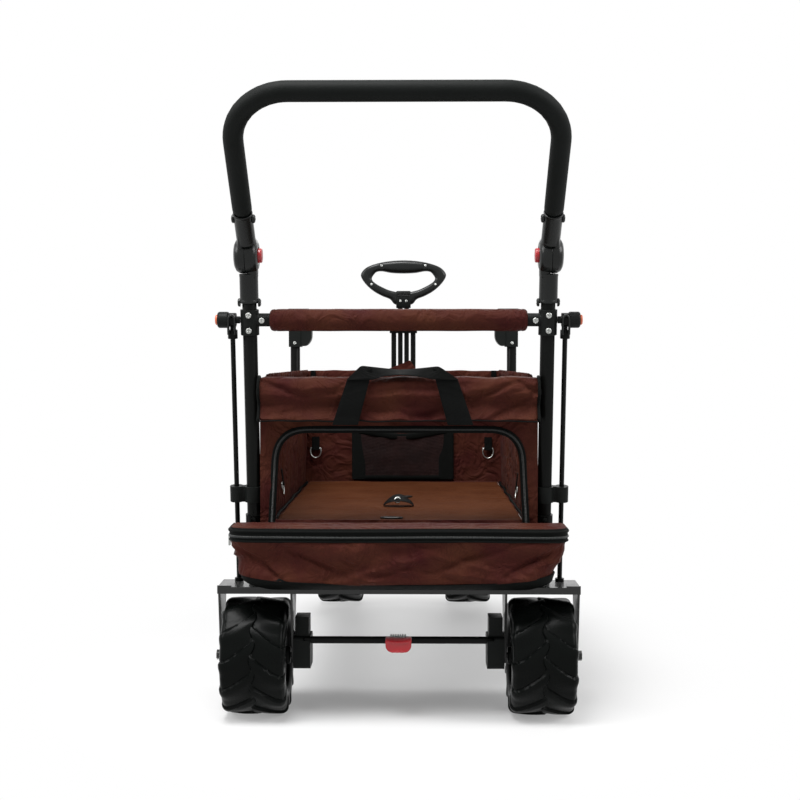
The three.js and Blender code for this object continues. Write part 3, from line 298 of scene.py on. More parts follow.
def ribbed(name, light, dark, pitch_mm, depth, roughness, direction="X", specular=0.05):
    """Webbing or zip tape: ribs pitch_mm apart along one direction of the flat measure."""
    made, tree, shader = new_material(name, Roughness=roughness, Specular_IOR_Level=specular)
    ribs = threads_along(tree, direction, pitch_mm, Distortion=0.4, Detail=1.0)
    bump = add(tree, "Bump", {"Height": ribs, "Strength": depth, "Distance": pitch_mm * MM / 3})
    feed(tree, shader, Base_Color=between(tree, ribs, dark, light), Normal=bump.outputs["Normal"])
    return made


SHEEN = {"Sheen_Weight": 0.015, "Sheen_Roughness": 0.4, "Specular_IOR_Level": 0.03}
# The tub's and the mat's two browns are painted light and shade: a lit tone and a shaded one, in patches.
tub_cloth = woven("brown_coated_oxford", "#4E2B1F", "#3D1919", 1.6, 0.5, 0.5, 0.7, **SHEEN)
mat_cloth = woven("brown_mat_oxford", "#59331E", "#4B2714", 1.8, 0.55, 0.7, 0.3, **SHEEN)
netting = woven("black_pocket_net", "#2A1412", "#150C0C", 3.4, 0.9, 0.7, 0.2, Specular_IOR_Level=0.15)
webbing = ribbed("black_polypropylene_webbing", "#0B0C0C", "#060706", 2.2, 0.6, 0.56)
piping = ribbed("black_binding_tape", "#0F1110", "#080908", 1.8, 0.5, 0.6, "Y")
zip_coil = ribbed("nylon_zip_coil", "#2C2F2E", "#0E0F0F", 2.4, 1.0, 0.42, "Y", 0.4)
print(len(bpy.data.materials), "materials")

# %% [markdown]
# ## Surfaces from formulas
# Every new piece is a grid of points worked out at once: a shape written as a function of two parameters,
# or a profile carried along a path. One function turns such a grid into a mesh. It also lays the grid out
# flat, so that the UV map holds each point's real place on the cloth or strap, in millimetres.


# %% From a grid of points to a piece
def run_length(line):
    """How far along a line each of its points lies."""
    return np.r_[0, np.cumsum(np.linalg.norm(np.diff(line, axis=0), axis=1))]


def skin(name, grid, around=False, loop=False, capped=False, seat=metres):
    """A grid of points (rows, columns, 3) as a mesh of quads. around closes each row on itself, loop joins
    the last row to the first, capped closes both end rows with a fan. The UV map is the mean measure."""
    grid = np.asarray(grid, float)
    rows, columns = grid.shape[:2]
    index = np.arange(rows * columns).reshape(rows, columns)
    full = np.concatenate([grid, grid[:, :1]], axis=1) if around else grid
    faces = np.concatenate([index, index[:, :1]], axis=1) if around else index
    if loop:
        full = np.concatenate([full, full[:1]], axis=0)
        faces = np.concatenate([faces, faces[:1]], axis=0)
    along = np.r_[0, np.cumsum(np.linalg.norm(np.diff(full, axis=0), axis=2).mean(axis=1))]
    across = np.r_[0, np.cumsum(np.linalg.norm(np.diff(full, axis=1), axis=2).mean(axis=0))]
    flat = np.stack(np.broadcast_arrays(across[None, :], along[:, None]), axis=-1)

    def corners(values):
        parts = (values[:-1, :-1], values[:-1, 1:], values[1:, 1:], values[1:, :-1])
        return np.stack(parts, axis=2).reshape(-1, 4, *values.shape[2:])

    points, uv = grid.reshape(-1, 3), corners(flat).reshape(-1, 2)
    polygons = corners(faces).tolist()
    for end in (0, -1) if capped else ():
        middle, centre = len(points), grid[end].mean(axis=0)
        points = np.vstack([points, centre])
        fan = np.stack([faces[end, :-1], faces[end, 1:], np.full(faces.shape[1] - 1, middle)], axis=1)
        polygons += (fan if end else fan[:, ::-1]).tolist()
        ring = (full[end] - centre)[:, :2]
        uv = np.vstack([uv, np.stack([ring[:-1], ring[1:], 0 * ring[1:]], axis=1).reshape(-1, 2)])
    mesh = bpy.data.meshes.new(name)
    mesh.from_pydata(seat(points).tolist(), [], polygons)
    mesh.uv_layers.new(name="flat").data.foreach_set("uv", uv.astype(np.float32).ravel())
    if around and (capped or loop):
        face_out(mesh)
    return mesh


def face_out(mesh):
    """Turns a closed mesh's faces outwards, by the sign of the volume that they enclose."""
    shell = bmesh.new()
    shell.from_mesh(mesh)
    if shell.calc_volume(signed=True) < 0:
        bmesh.ops.reverse_faces(shell, faces=shell.faces)
        shell.to_mesh(mesh)
    shell.free()


def piece(name, mesh, material, body, replaced=(), angle=50):
    """A mesh as a piece on a body, with its material's slot, that stands for the nodes it replaces."""
    made = link(name, mesh)
    mesh.materials.clear()
    mesh.materials.append(material)
    mesh.shade_smooth()
    mesh.set_sharp_from_angle(angle=math.radians(angle))
    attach(made, body)
    if replaced:
        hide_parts(*replaced)
    return made


def closed(name, grid, material, body, replaced=(), angle=50, slot=None, loop=False, seat=metres):
    """A piece whose rows close on themselves. Its end rows are capped, or with loop joined to each other."""
    mesh = skin(name, grid, around=True, loop=loop, capped=not loop, seat=seat)
    return piece(name, mesh, material, body, replaced, angle)


def thickened(made, thick_mm):
    """Gives an open sheet its thickness, half to each side."""
    wall = made.modifiers.new("thickness", "SOLIDIFY")
    wall.thickness = thick_mm * MM
    wall.offset = 0
    depsgraph = bpy.context.evaluated_depsgraph_get()
    mesh = bpy.data.meshes.new_from_object(made.evaluated_get(depsgraph))
    made.modifiers.clear()
    made.data = mesh


# %% [markdown]
# ## Two ways to carry a section
# A bar is a circle carried along a line. A wheel or a knob is a profile turned about an axis. Both give a
# grid of rings. Corners of a profile are first eased: each corner is left a little early on one side and
# rejoined on the next, along a quadratic curve, because moulded and turned parts have no knife edges.


# %% Sweeps and turned forms
def eased(points, radius, steps=4, closed_line=False):
    """An outline with its corners rounded. Each corner p becomes (1-t)^2 a + 2t(1-t) p + t^2 b, where a and b
    lie up to a radius from p on the straights before and after it."""
    p = np.asarray(points, float)
    reach = np.broadcast_to(np.asarray(radius, float), len(p))

    def toward(other):
        step = other - p
        length = np.maximum(np.linalg.norm(step, axis=1), 1e-9)
        return p + step * np.minimum(reach / length, 0.45)[:, None]

    start, end = toward(np.roll(p, 1, axis=0)), toward(np.roll(p, -1, axis=0))
    t = np.linspace(0, 1, steps)[None, :, None]
    arcs = (1 - t) ** 2 * start[:, None] + 2 * t * (1 - t) * p[:, None] + t**2 * end[:, None]
    if closed_line:
        return arcs.reshape(-1, p.shape[1])
    return np.vstack([p[:1], arcs[1:-1].reshape(-1, p.shape[1]), p[-1:]])


def turn_angles(sides):
    """Even steps round a full turn."""
    return np.linspace(0, 2 * math.pi, sides, endpoint=False)


def squared(sides, power):
    """A circle pressed towards a square: cosine and sine, each raised to a power with its sign kept."""
    angle = turn_angles(sides)
    return [np.sign(wave) * np.abs(wave) ** power for wave in (np.cos(angle), np.sin(angle))]


def turned(profile, centre=(0, 0, 0), axis=0, sides=48):
    """A profile of (radius, place along the axis) turned about the X or Z axis through the centre."""
    profile = np.asarray(profile, float)
    angle = turn_angles(sides)
    radius, along = profile[:, :1], profile[:, 1:]
    ring = [along + 0 * angle, radius * np.cos(angle), radius * np.sin(angle)]
    return xyz(*(ring[-axis:] + ring[:-axis] if axis else ring)) + np.asarray(centre, float)


def swept(path, flat_normal, radius, sides=32, depth=None, looped=False):
    """A circle, or an ellipse with another depth, carried along a path in one plane. Its radius may change
    along the way. One of its axes is the plane's normal, the other lies in the plane, across the path."""
    path = np.asarray(path, float)
    if looped:
        tangent = np.roll(path, -1, axis=0) - np.roll(path, 1, axis=0)
    else:
        tangent = np.gradient(path, axis=0)
    tangent /= np.linalg.norm(tangent, axis=1, keepdims=True)
    normal = np.asarray(flat_normal, float) / np.linalg.norm(flat_normal)
    across = np.cross(tangent, normal)
    radius = np.broadcast_to(np.asarray(radius, float), len(path))[:, None, None]
    depth = radius if depth is None else np.broadcast_to(np.asarray(depth, float), len(path))[:, None, None]
    angle = turn_angles(sides)[None, :, None]
    return path[:, None] + radius * np.cos(angle) * across[:, None] + depth * np.sin(angle) * normal


def carried(name, path, normal, radius, material, body, sides=16, depth=None, looped=False, **more):
    """A piece made of one section carried along a path: a wire, a hem, a tape or a tube."""
    rings = swept(path, normal, radius, sides, depth, looped)
    return closed(name, rings, material, body, loop=looped, **more)


# %% [markdown]
# ## Hard parts that are already right
# The clamps, forks and brackets have the right shape as solids, but their edges are knife sharp. Each gets
# a copy whose doubled points are merged, whose flat faces are joined, and whose edges are bevelled by a
# fraction of a millimetre. That thin bevel catches the light as a moulding's or a weld's edge does.


# %% Rounded copies of hard solids
EDGE_ANGLE = math.radians(50)
hard_parts = [
    ("rear_bridge", plate_coat, 1.5),
    ("front_frame", powder_coat, 1.0),
    ("front_crossbar", nylon, 2.0),
    ("brake_rod", powder_coat, 0.8),
    ("pull_tubes_lower", powder_coat, 1.2),
    ("pull_tubes_upper", powder_coat, 0.5),
    ("floor_board_rear", nylon, 0.8),
    ("floor_board_front", nylon, 0.8),
    ("zip_slider", zinc, 0.8),
]
hard_pairs = [
    ("brake_housing", nylon, 1.8),
    ("brake_pin", zinc, 0.5),
    ("t_clamp", nylon, 1.6),
    ("post_collar", nylon, 1.4),
    ("rear_stay", powder_coat, 0.5),
    ("front_stay", powder_coat, 0.5),
    ("caster_fork", powder_coat, 1.0),
    ("rear_post", powder_coat, 0.8),
    ("stay_rod", powder_coat, 0.6),
]
hard_parts += [(f"{node}_{side}", *rest) for side, _ in SIDES for node, *rest in hard_pairs]
for node, material, edge_mm in hard_parts:
    shell = bmesh.new()
    shell.from_mesh(nodes[node].data)
    bmesh.ops.remove_doubles(shell, verts=shell.verts, dist=1e-5)
    bmesh.ops.dissolve_limit(shell, angle_limit=math.radians(0.5), verts=shell.verts, edges=shell.edges)
    mesh = bpy.data.meshes.new(node + "_shell")
    shell.to_mesh(mesh)
    shell.free()
    made = piece(node + "_shell", mesh, material, nodes[node]["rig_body"], (node,))
    rounding = made.modifiers.new("edges", "BEVEL")
    rounding.width = edge_mm * MM
    rounding.segments = 2
    rounding.limit_method = "ANGLE"
    rounding.angle_limit = EDGE_ANGLE
    rounding.harden_normals = True
print(len(hard_parts), "hard parts with rounded edges")

# %% [markdown]
# ## The push bar
# A steel tube is bent into a U and slid into the hinges' sleeves. Over it sits one long grip of closed-cell
# foam, pulled on with air, so it follows both bends and wrinkles slightly on their inner side. Both are a
# circle carried along the same line, which is made of straights and two quarter circles.

# %% Push bar and its foam
PUSH_LENGTH, BEND_RADIUS = 324.5, 92.0
TUBE_START, SLEEVE_TOP = 36.0, 93.0
TUBE_RADIUS, FOAM_RADIUS = 12.5, 16.2
ALONG_X, ALONG_Y, ALONG_Z = (1, 0, 0), (0, 1, 0), (0, 0, 1)


def push_line(start, step=6.0):
    """The middle line of the bar in its own frame: leg, quarter circle, top, quarter circle, leg."""
    bend_z, bend_x = PUSH_LENGTH - BEND_RADIUS, POST_X - BEND_RADIUS
    leg = np.linspace(start, bend_z, int((bend_z - start) / step) + 2)
    turn = np.linspace(0, math.pi / 2, 18)[1:]
    corner = xyz(-bend_x - BEND_RADIUS * np.cos(turn), 0.0, bend_z + BEND_RADIUS * np.sin(turn))
    half = np.vstack([xyz(-POST_X, 0.0, leg), corner])
    top = xyz(np.linspace(-bend_x, bend_x, 48)[1:-1], 0.0, PUSH_LENGTH)
    return np.vstack([half, top, half[::-1] * (-1, 1, 1)])


in_bar = {"seat": bar_seat, "body": "push_bar", "sides": 32, "replaced": ("push_bar_tube",)}
steel_line = push_line(TUBE_START)
carried("push_tube", steel_line, ALONG_Y, TUBE_RADIUS, powder_coat, **in_bar)

foam_line = push_line(SLEEVE_TOP + 0.6)
place_on = run_length(foam_line)
from_end = np.minimum(place_on, place_on[-1] - place_on)
in_bend = np.exp(-(((from_end - (PUSH_LENGTH - BEND_RADIUS - SLEEVE_TOP) - 0.8 * BEND_RADIUS) / 42) ** 2))
foam_radius = FOAM_RADIUS - 3.4 * np.exp(-from_end / 1.6) + 0.25 * in_bend * np.sin(from_end / 3.1)
in_bar.update(sides=40, replaced=("push_bar_grip",))
foam = carried("push_bar_foam", foam_line, ALONG_Y, foam_radius, eva_foam, **in_bar)
print("foam grip", round(float(place_on[-1])), "mm long")

# %% [markdown]
# ## The push bar's hinges
# Each hinge is a fat round knuckle, moulded in two halves that meet face to face. The inner half sits on a
# sleeve round the post and holds the red button, the outer half on a sleeve round the push bar. Discs and
# sleeves are turned forms with well rounded shoulders. A web with an oval section flares from each sleeve
# into its disc.


# %% Hinge halves
def flared_web(middle, half, heights, flare):
    """Oval rings |x/a|^2.5 + |y/b|^2.5 = 1 along Z. Both half widths grow with the flare, from 0 to 1."""
    round_x, round_y = squared(40, 0.8)
    heights, flare = (np.array(values, float)[:, None] for values in (heights, flare))
    return xyz(middle + half * flare * round_x, (9 + 5.5 * flare) * round_y, heights)


BASE_DISC = [(0, 252), (13.2, 252), (13.2, 239.4), (14.6, 238.1), (21, 238.4), (26.6, 240.8), (29.6, 245)]
BASE_DISC += [(30.5, 250), (30.5, 258.2), (29.9, 258.85), (0, 258.85)]
CAP_DISC = [(0, 259.15), (29.9, 259.15), (30.5, 259.8), (30.5, 265), (29.6, 270.5), (26.6, 275.4)]
CAP_DISC += [(20.5, 278.6), (14.2, 279.4), (13.2, 278.6), (0, 278.4)]
LOWER_SLEEVE = [(12.8, 40), (12.8, 29.6), (14, 29), (15.8, 29), (16.5, 30), (16.5, 33), (15.9, 34.6)]
LOWER_SLEEVE += [(15.9, 74), (16.4, 76), (16.2, 79.1), (0, 79.3)]
UPPER_SLEEVE = [(0, 31.2), (16.1, 31.4), (16.4, 33.5), (15.9, 36), (15.9, 88.6), (16.5, 90.4), (16.4, 92.4)]
UPPER_SLEEVE += [(15.4, 93), (13, 93), (12.9, 80)]
BASE_WEB = (249.2, 9.5, (60, 68, 74, 79, 86, 104), (0.5, 0.62, 0.8, 1, 1, 1))
CAP_WEB = (265.9, 6.6, (4, 22, 30, 35, 42, 52), (1, 1, 1, 0.85, 0.65, 0.5))
HALVES = (
    ("base", "rear_frame", post_seat, HINGE_RISE, BASE_DISC, LOWER_SLEEVE, BASE_WEB),
    ("cap", "push_bar", bar_seat, 0, CAP_DISC, UPPER_SLEEVE, CAP_WEB),
)
for side, s in SIDES:
    for half, body, seat, rise, disc, sleeve, (middle, wide, heights, flare) in HALVES:
        tag = f"{half}_{side}"
        look = {"material": satin_nylon, "body": body, "seat": seat, "angle": 60}
        rings = turned(eased(np.array(disc) * (1, s), 1.2, 4), (0, 0, rise), sides=72)
        closed("hinge_disc_" + tag, rings, replaced=("hinge_" + tag,), **look)
        closed("hinge_sleeve_" + tag, turned(eased(sleeve, 0.8, 3), (s * POST_X, 0, 0), axis=2), **look)
        closed("hinge_web_" + tag, flared_web(s * middle, wide, heights, flare), **look)
print("hinges: a disc, a sleeve and a web for each half")

# %% [markdown]
# ## Knobs, caps and buttons
# The ends of the crossbar, their orange push caps and the red release buttons are all turned forms: a
# profile and an axis. Small dimples and rims on the profile are what makes them read as mouldings.


# %% Turned ends and buttons
def turned_part(name, profile, ease, material, body, node, centre=(0, 0, 0)):
    """A piece turned about X from an eased profile of (radius, place along X), in place of a node."""
    closed(name, turned(eased(profile, ease, 3), centre), material, body, (node,), seat=post_seat)


KNOB = [(0, 272.5), (6.2, 272.5), (6.2, 291.5), (12.6, 291.5), (14, 293.5), (14, 308.5), (12, 311)]
KNOB += [(9.6, 311), (9.3, 310), (9.3, 300.5), (0, 300.5)]
CAP = [(0, 305), (8.9, 305), (8.9, 313.2), (7.4, 315), (4.6, 315), (4.0, 314.2), (0, 314.2)]
BUTTON = [(0, 232), (6.4, 232), (7.2, 232.6), (11.2, 232), (12.4, 233.6), (12.4, 245.6), (0, 245.6)]
for side, s in SIDES:
    knob, cap, button = (np.array(profile) * (1, s) for profile in (KNOB, CAP, BUTTON))
    turned_part("end_knob_" + side, knob, 0.8, nylon, "rear_frame", "crossbar_knob_" + side)
    turned_part("end_cap_" + side, cap, 0.6, orange_abs, "end_cap_" + side, "end_button_" + side)
    body, node = "release_button_" + side, "hinge_button_" + side
    turned_part("release_" + side, button, 0.8, red_abs, body, node, (0, 0, HINGE_RISE))

# %% [markdown]
# ## Screws
# The clamps are closed by cross-head screws in bright zinc. Each is a low dome with a cross pressed into it:
# two narrow troughs at right angles, which come straight from the formula for the dome's height.


# %% Cross-head screws
def screw_head(radius, height):
    """A dome whose height is h (1 - (r/R)^2)^0.5, less a cross: a trough where |x| or |y| is small."""
    angle = turn_angles(32)
    share = np.array([1.0, 0.99, 0.94, 0.86, 0.76, 0.64, 0.5, 0.36, 0.22, 0.08])[:, None]
    x, y = share * np.cos(angle), share * np.sin(angle)
    dome = 0.35 + 0.65 * np.sqrt(np.clip(1 - share**2, 0, 1))
    narrow = np.exp(-((np.minimum(np.abs(x), np.abs(y)) / 0.15) ** 4))
    top = xyz(radius * x, radius * y, height * (dome - 0.55 * narrow * (share < 0.7)))
    return np.concatenate([xyz(radius * x[:1], radius * y[:1], -0.8), top])


def add_screw(name, centre, outward, body, radius, height, material=zinc, **more):
    """A screw head whose dome faces along a level direction."""
    outward = np.asarray(outward, float)
    right = np.cross(ALONG_Z, outward)
    head = screw_head(radius, height) @ np.array([right, np.cross(outward, right), outward])
    closed(name, np.asarray(centre, float) + head, material, body, angle=60, slot="zinc", **more)


BOSS = {"radius": 7.2, "height": 4.2, "material": satin_nylon}
HINGE_HALVES = [("sleeve", 30, "rear_frame", post_seat), ("cap", 80, "push_bar", bar_seat)]
for side, s in SIDES:
    on_clamp = {"outward": (0, -1, 0), "body": "rear_frame", "radius": 5.0, "height": 2.4, "seat": post_seat}
    for number, rise in enumerate((-17.2, 9.2)):
        add_screw(f"clamp_screw_{number}_{side}", (s * POST_X, -16.4, rise), **on_clamp)
    add_screw("stub_screw_" + side, (s * 234, -11.9, 0), **on_clamp)
    for where, out in (("outer", s), ("inner", -s)):
        x = s * POST_X + out * 16.2
        for half, z, body, seat in HINGE_HALVES:
            add_screw(f"{half}_boss_{where}_{side}", (x, 0, z), (out, 0, 0), body, seat=seat, **BOSS)
    for far, y, out in (("", 779.8, -1), ("far_", 810.2, 1)):
        place = (s * POST_X, y, 664)
        add_screw(f"bracket_screw_{far}{side}", place, (0, out, 0), "front_end", 3.6, 1.6)

# %% [markdown]
# ## Wheels
# The tyres are one piece of moulded EVA foam rubber, 204 mm across and wide enough for sand. Twelve chevron
# lugs a side meet in the middle in a V, and the two sides are half a lug out of step. The whole tyre is one
# closed skin: its radius is the smooth crown of the tyre, less a depth that each lug's profile sets.

# %% The tyre
TYRE_RADIUS, TYRE_HALF = 102.0, 57.0
SHOULDER = 0.78
LUGS, LUG_DEPTH, SWAY = 12, 5.0, 5.0
CROWN_DROP, SHOULDER_DROP = 1.2, 11.0


def smooth_step(value, low, high):
    """0 below low, 1 above high, and 3 t^2 - 2 t^3 between them."""
    t = np.clip((value - low) / (high - low), 0, 1)
    return t * t * (3 - 2 * t)


def tyre_grid(columns=26 * LUGS):
    """Rows run from one bead over the crown to the other. a is the distance from the middle as a share of
    the half width. A lug starts steps(a) after each twelfth of the turn and is wide(a) of a twelfth
    long, so it is broad in the middle, narrow at the shoulder, and swept back. Its upper edge is sharp and it
    slopes away below, as a saw tooth does. One side is half a step out of phase, and the middle line sways
    with the lugs."""
    a = np.r_[np.linspace(1, SHOULDER, 14)[:-1], np.linspace(SHOULDER, 0.0, 24)]
    side = np.repeat((-1.0, 1.0), (len(a), len(a) - 1))
    a = np.r_[a, a[::-1][1:]]
    shoulder = np.clip((a - SHOULDER) / (1 - SHOULDER), 0, 1)
    crown_r = TYRE_RADIUS - CROWN_DROP * a**2 - SHOULDER_DROP * (1 - np.sqrt(1 - 0.998 * shoulder**2))
    wall_w, wall_r = np.array([0.84, 0.93, 0.985, 1.0]), np.array([58.5, 62.5, 69.0, 75.0])
    w = np.r_[-wall_w, side * a, wall_w[::-1]][:, None]
    r = np.r_[wall_r, crown_r, wall_r[::-1]][:, None]
    angle = turn_angles(columns)[None, :]
    across = np.abs(w)
    steps = 0.82 * (1 - (1 - across) ** 1.7)
    wide = 0.98 - 0.5 * across**1.4
    phase = (angle * LUGS / (2 * math.pi) - steps + 0.5 * (w > 0)) % 1.0
    lug = smooth_step(phase, 0, 0.05) * (1 - 0.75 * smooth_step(phase, 0.3 * wide, wide))
    lug = lug * (1 - smooth_step(phase, 0.955, 1.0))
    side_fade = smooth_step(r, 64, 80)
    radius = r - LUG_DEPTH * (1 - lug) * side_fade
    sway = SWAY * np.clip(1 - across / 0.6, 0, 1) * np.sin(LUGS * angle)
    x = TYRE_HALF * w + sway - np.sign(w) * 2.2 * (1 - lug) * smooth_step(across, 0.86, 1.0) * side_fade
    return xyz(x, radius * np.sin(angle), -radius * np.cos(angle))


def wheel_rim_grid(s):
    """A moulded rim as one turned skin: barrel, dish and hub, joined from the last ring back to the first."""
    profile = [(6, -58), (14, -58), (15.5, -56), (16, -20), (20, -16), (50, -16), (51.5, -44), (57.4, -46.5)]
    profile += [(57.6, 46.5), (51.5, 44), (50, 8), (46, 5), (20, 5), (16.5, 9), (15.5, 56), (14, 58), (6, 58)]
    return turned(eased(np.array(profile) * (1, s), 1.5, 3), sides=96)


AXLE_Z = 101.645
for side, s in SIDES:
    for kind, x, y in (("rear", 250.0, 47.0), ("caster", 163.0, 1048.0)):
        centre = np.array((s * x, y, AXLE_Z))
        body = f"{kind}_wheel_{side}"
        mesh = skin(f"{kind}_tread_{side}", tyre_grid() + centre, around=True)
        shell = bmesh.new()
        shell.from_mesh(mesh)
        bmesh.ops.bridge_loops(shell, edges=[edge for edge in shell.edges if edge.is_boundary])
        bmesh.ops.recalc_face_normals(shell, faces=shell.faces)
        shell.to_mesh(mesh)
        shell.free()
        piece(f"{kind}_tread_{side}", mesh, eva_tread, body, (f"{kind}_tyre_{side}",), 38)
        rim_node = (f"{kind}_rim_{side}",)
        closed(f"{kind}_wheel_{side}", wheel_rim_grid(s) + centre, nylon, body, rim_node, loop=True)
print("wheels: four, each a tyre and a rim")

# %% [markdown]
# ## How cloth is drawn here
# Cloth needs two things that hard parts do not: a soft uneven field for slack, and creases with a sharp
# ridge. Both are sums of sine waves whose directions, lengths and starts come from a seeded draw, so that
# the cloth is the same on each run. Every panel below is a formula for its resting shape plus a little of
# these two fields. Where a single fold matters, it is listed: a straight trough with soft sides that
# fades at its ends.


# %% Slack and creases
def drawn_phases(a, b, seed, waves, low, high, rate):
    """Phases rate (a cos + b sin) / length + start of waves with a drawn direction, length and start."""
    draw = np.random.default_rng(seed)
    turn, length, start = (draw.uniform(*span, waves) for span in ((0, 2 * math.pi), (low, high), (0, 6.3)))
    a, b = np.broadcast_arrays(np.asarray(a, float), np.asarray(b, float))
    return rate * (a[..., None] * np.cos(turn) + b[..., None] * np.sin(turn)) / length + start, start


def slack(a, b, seed):
    """A smooth uneven field of about -1 to 1: ten sine waves, 0.7 to 2.2 long, over the root of ten."""
    phase, _ = drawn_phases(a, b, seed, 10, 0.7, 2.2, 2 * math.pi)
    return np.sin(phase).sum(axis=-1) / math.sqrt(10)


def creases(a, b, seed):
    """Narrow ridges from 0 to 1 in drawn directions, bent by the slack field: (1 - |sin|) to a high power."""
    bend = 0.25 * slack(a, b, seed + 1)
    phase, start = drawn_phases(a + bend, b + bend, seed, 6, 1.0, 3.0, math.pi)
    ridge = (1 - np.abs(np.sin(phase))) ** 4
    return (ridge * (0.5 + 0.5 * np.sin(0.7 * phase + start[::-1]))).sum(axis=-1) / 2


def bump_at(value, place, width):
    """A bell of height 1: exp(-((value - place) / width)^2)."""
    return np.exp(-(((value - place) / width) ** 2))


def set_folds(folds, x, z, width):
    """A sum of folds (start, height, slope, length, size) that run up from (start, height) with a slope."""
    return sum(
        size * bump_at(z, at + slope * (x - start), width) * bump_at(x, start, length)
        for start, at, slope, length, size in folds
    )


# %% [markdown]
# ## The padded crossbar
# A foam tube in a brown sleeve is slipped over the crossbar. The sleeve is sewn into a tube with its seam
# below, and it is a little longer than the foam, so its ends pull in. The real section is pressed slightly
# flat; here it is a circle with a little slack, with a narrow ridge where the seam runs. The front crossbar
# wears the same sleeve.


# %% Padded sleeves
def padded_sleeve(name, half_length, radius, seed, body, replaced=(), seat=metres, centre=(0.0, 0.0, 0.0)):
    """Rings along X: radius times (1 + slack), less a rounding over the last 9 mm, plus the seam's ridge."""
    end = np.linspace(0.95, 1, 12)[1:]
    x = np.r_[-end[::-1], np.linspace(-0.95, 0.95, 150), end][:, None] * half_length
    angle = turn_angles(56)[None, :]
    from_end = half_length - np.abs(x)
    r = radius * (1 + 0.012 * slack(x / 70, angle / 2, seed))
    r = r + 0.5 * creases(x / 22, angle, seed + 5) * np.exp(-from_end / 30)
    r = r - 4.5 * np.exp(-from_end / 2.2) - 0.7 * bump_at(from_end, 10, 1.2)
    r = r + 0.9 * bump_at(angle, math.pi * 1.5, 0.07)
    rings = xyz(x, r * np.cos(angle), r * np.sin(angle)) + np.asarray(centre)
    sleeve = closed(name, rings, tub_cloth, body, replaced, seat=seat)


bar_nodes = ("crossbar_pad", "crossbar_tube")
padded_sleeve("crossbar_sleeve", 220.5, 18.6, 11, "rear_frame", bar_nodes, post_seat)
padded_sleeve("front_sleeve", 175, 18.0, 12, "front_end", centre=(0.0, 795.0, 727.0))

# %% [markdown]
# ## The rear wall, its zip and the rolled-up door
# The rear wall is a panel with an arched doorway, and a zip runs round the arch. The door itself is undone,
# rolled up and strapped along the rim, so it hangs there as a soft band: a roll above, and a flap below it
# that kicks out. The panel is one closed skin: it runs outwards on the rear face and back on the front
# face.

# %% Rear wall with its arched doorway
RIM = 594.0
WALL_FOOT, WALL_HALF = 230.0, 242.0
DOOR_SILL, DOOR_TOP = 345.0, 497.0
REAR_FACE, FRONT_FACE = 23.4, 26.6


def even_loop(points, count):
    """A closed outline measured along its length and laid out again with evenly spaced points."""
    ring = np.vstack([points, points[:1]])
    place = run_length(ring)
    want = np.linspace(0, place[-1], count, endpoint=False)
    return np.stack([np.interp(want, place, ring[:, 0]), np.interp(want, place, ring[:, 1])], axis=1)


arch = [(-215.0, DOOR_SILL), (215.0, DOOR_SILL), (205.0, DOOR_TOP), (-205.0, DOOR_TOP)]
inner = even_loop(eased(arch, (1, 1, 46, 46), 14, True), 320)
centre = np.array([0, (DOOR_SILL + DOOR_TOP) / 2])
ray = inner - centre
edge = np.where(ray > 0, (WALL_HALF, RIM), (-WALL_HALF, WALL_FOOT))
reach = np.abs((edge - centre) / np.where(np.abs(ray) < 1e-6, 1e-6, ray)).min(axis=1, keepdims=True)
share = np.linspace(0, 1, 16)[:, None, None]
face = inner * (1 - share) + (centre + ray * reach) * share
face_x, face_z = face[..., 0], face[..., 1]
wave = 1.6 * slack(face_x / 60, face_z / 80, 21) - 2.6 * creases(face_x / 90, face_z / 60, 22)
wave = wave * np.sin(math.pi * share[..., 0])
panel = np.concatenate([xyz(face_x, REAR_FACE + wave, face_z), xyz(face_x, FRONT_FACE + wave, face_z)[::-1]])
closed("rear_panel", panel, tub_cloth, "rear_frame", ("rear_wall",), loop=True)

arch_line = eased([(-222.0, 338.0), (-213.0, 503.0), (213.0, 503.0), (222.0, 338.0)], (1, 56, 56, 1), 24)
place = run_length(arch_line)
want = np.linspace(0, place[-1], int(place[-1] / 4.0) + 2)
arch_path = xyz(np.interp(want, place, arch_line[:, 0]), 22.6, np.interp(want, place, arch_line[:, 1]))
carried("door_zip_tape", arch_path, ALONG_Y, 6.2, piping, "rear_frame", 20, 1.1)
carried("door_zip_coil", arch_path - (0, 1.3, 0), ALONG_Y, 2.0, zip_coil, "rear_frame", 20, 1.3)

# %% The rolled-up door
ROLL_HALF = 241.0
ROLL_SECTION = (
    (0.0, 6.0, 595.5), (0.06, -4.0, 593.0), (0.12, -10.5, 587.0), (0.2, -14.6, 575.0), (0.28, -13.4, 562.0),
    (0.335, -5.0, 553.5), (0.38, -2.0, 547.0), (0.44, -6.5, 535.0), (0.5, -13.6, 522.5), (0.53, -14.0, 520.6),
    (0.57, -6.0, 521.5), (0.63, 14.0, 524.0), (0.8, 20.5, 560.0), (0.93, 19.5, 590.0), (1.0, 6.0, 595.5),
)
ROLL_FOLDS = (
    (-200, 574, -0.3, 46, -8.0), (-140, 566, 0.12, 50, -6.0), (-165, 540, 0.2, 60, -6.0),
    (150, 566, 0.34, 70, -9.0), (200, 546, 0.6, 50, -8.0), (20, 574, 0.06, 80, -6.5),
    (-30, 538, -0.12, 60, -6.0), (60, 534, 0.2, 50, -6.0), (222, 576, -0.5, 22, -7.0),
)


def roll_section(x, turn):
    """The section of the roll at x. turn runs once round from the top of the rear face. The front profile is
    a belly above, a crease, and a flap that kicks out below; the back is flat against the wall."""
    knots, y, z = np.array(ROLL_SECTION).T
    flow = 0.03 * slack(x / 130, turn * 1.4, 31) * np.sin(2 * math.pi * turn) ** 2
    place = (turn + flow) % 1.0
    return np.stack([np.interp(place, knots, y), np.interp(place, knots, z)])


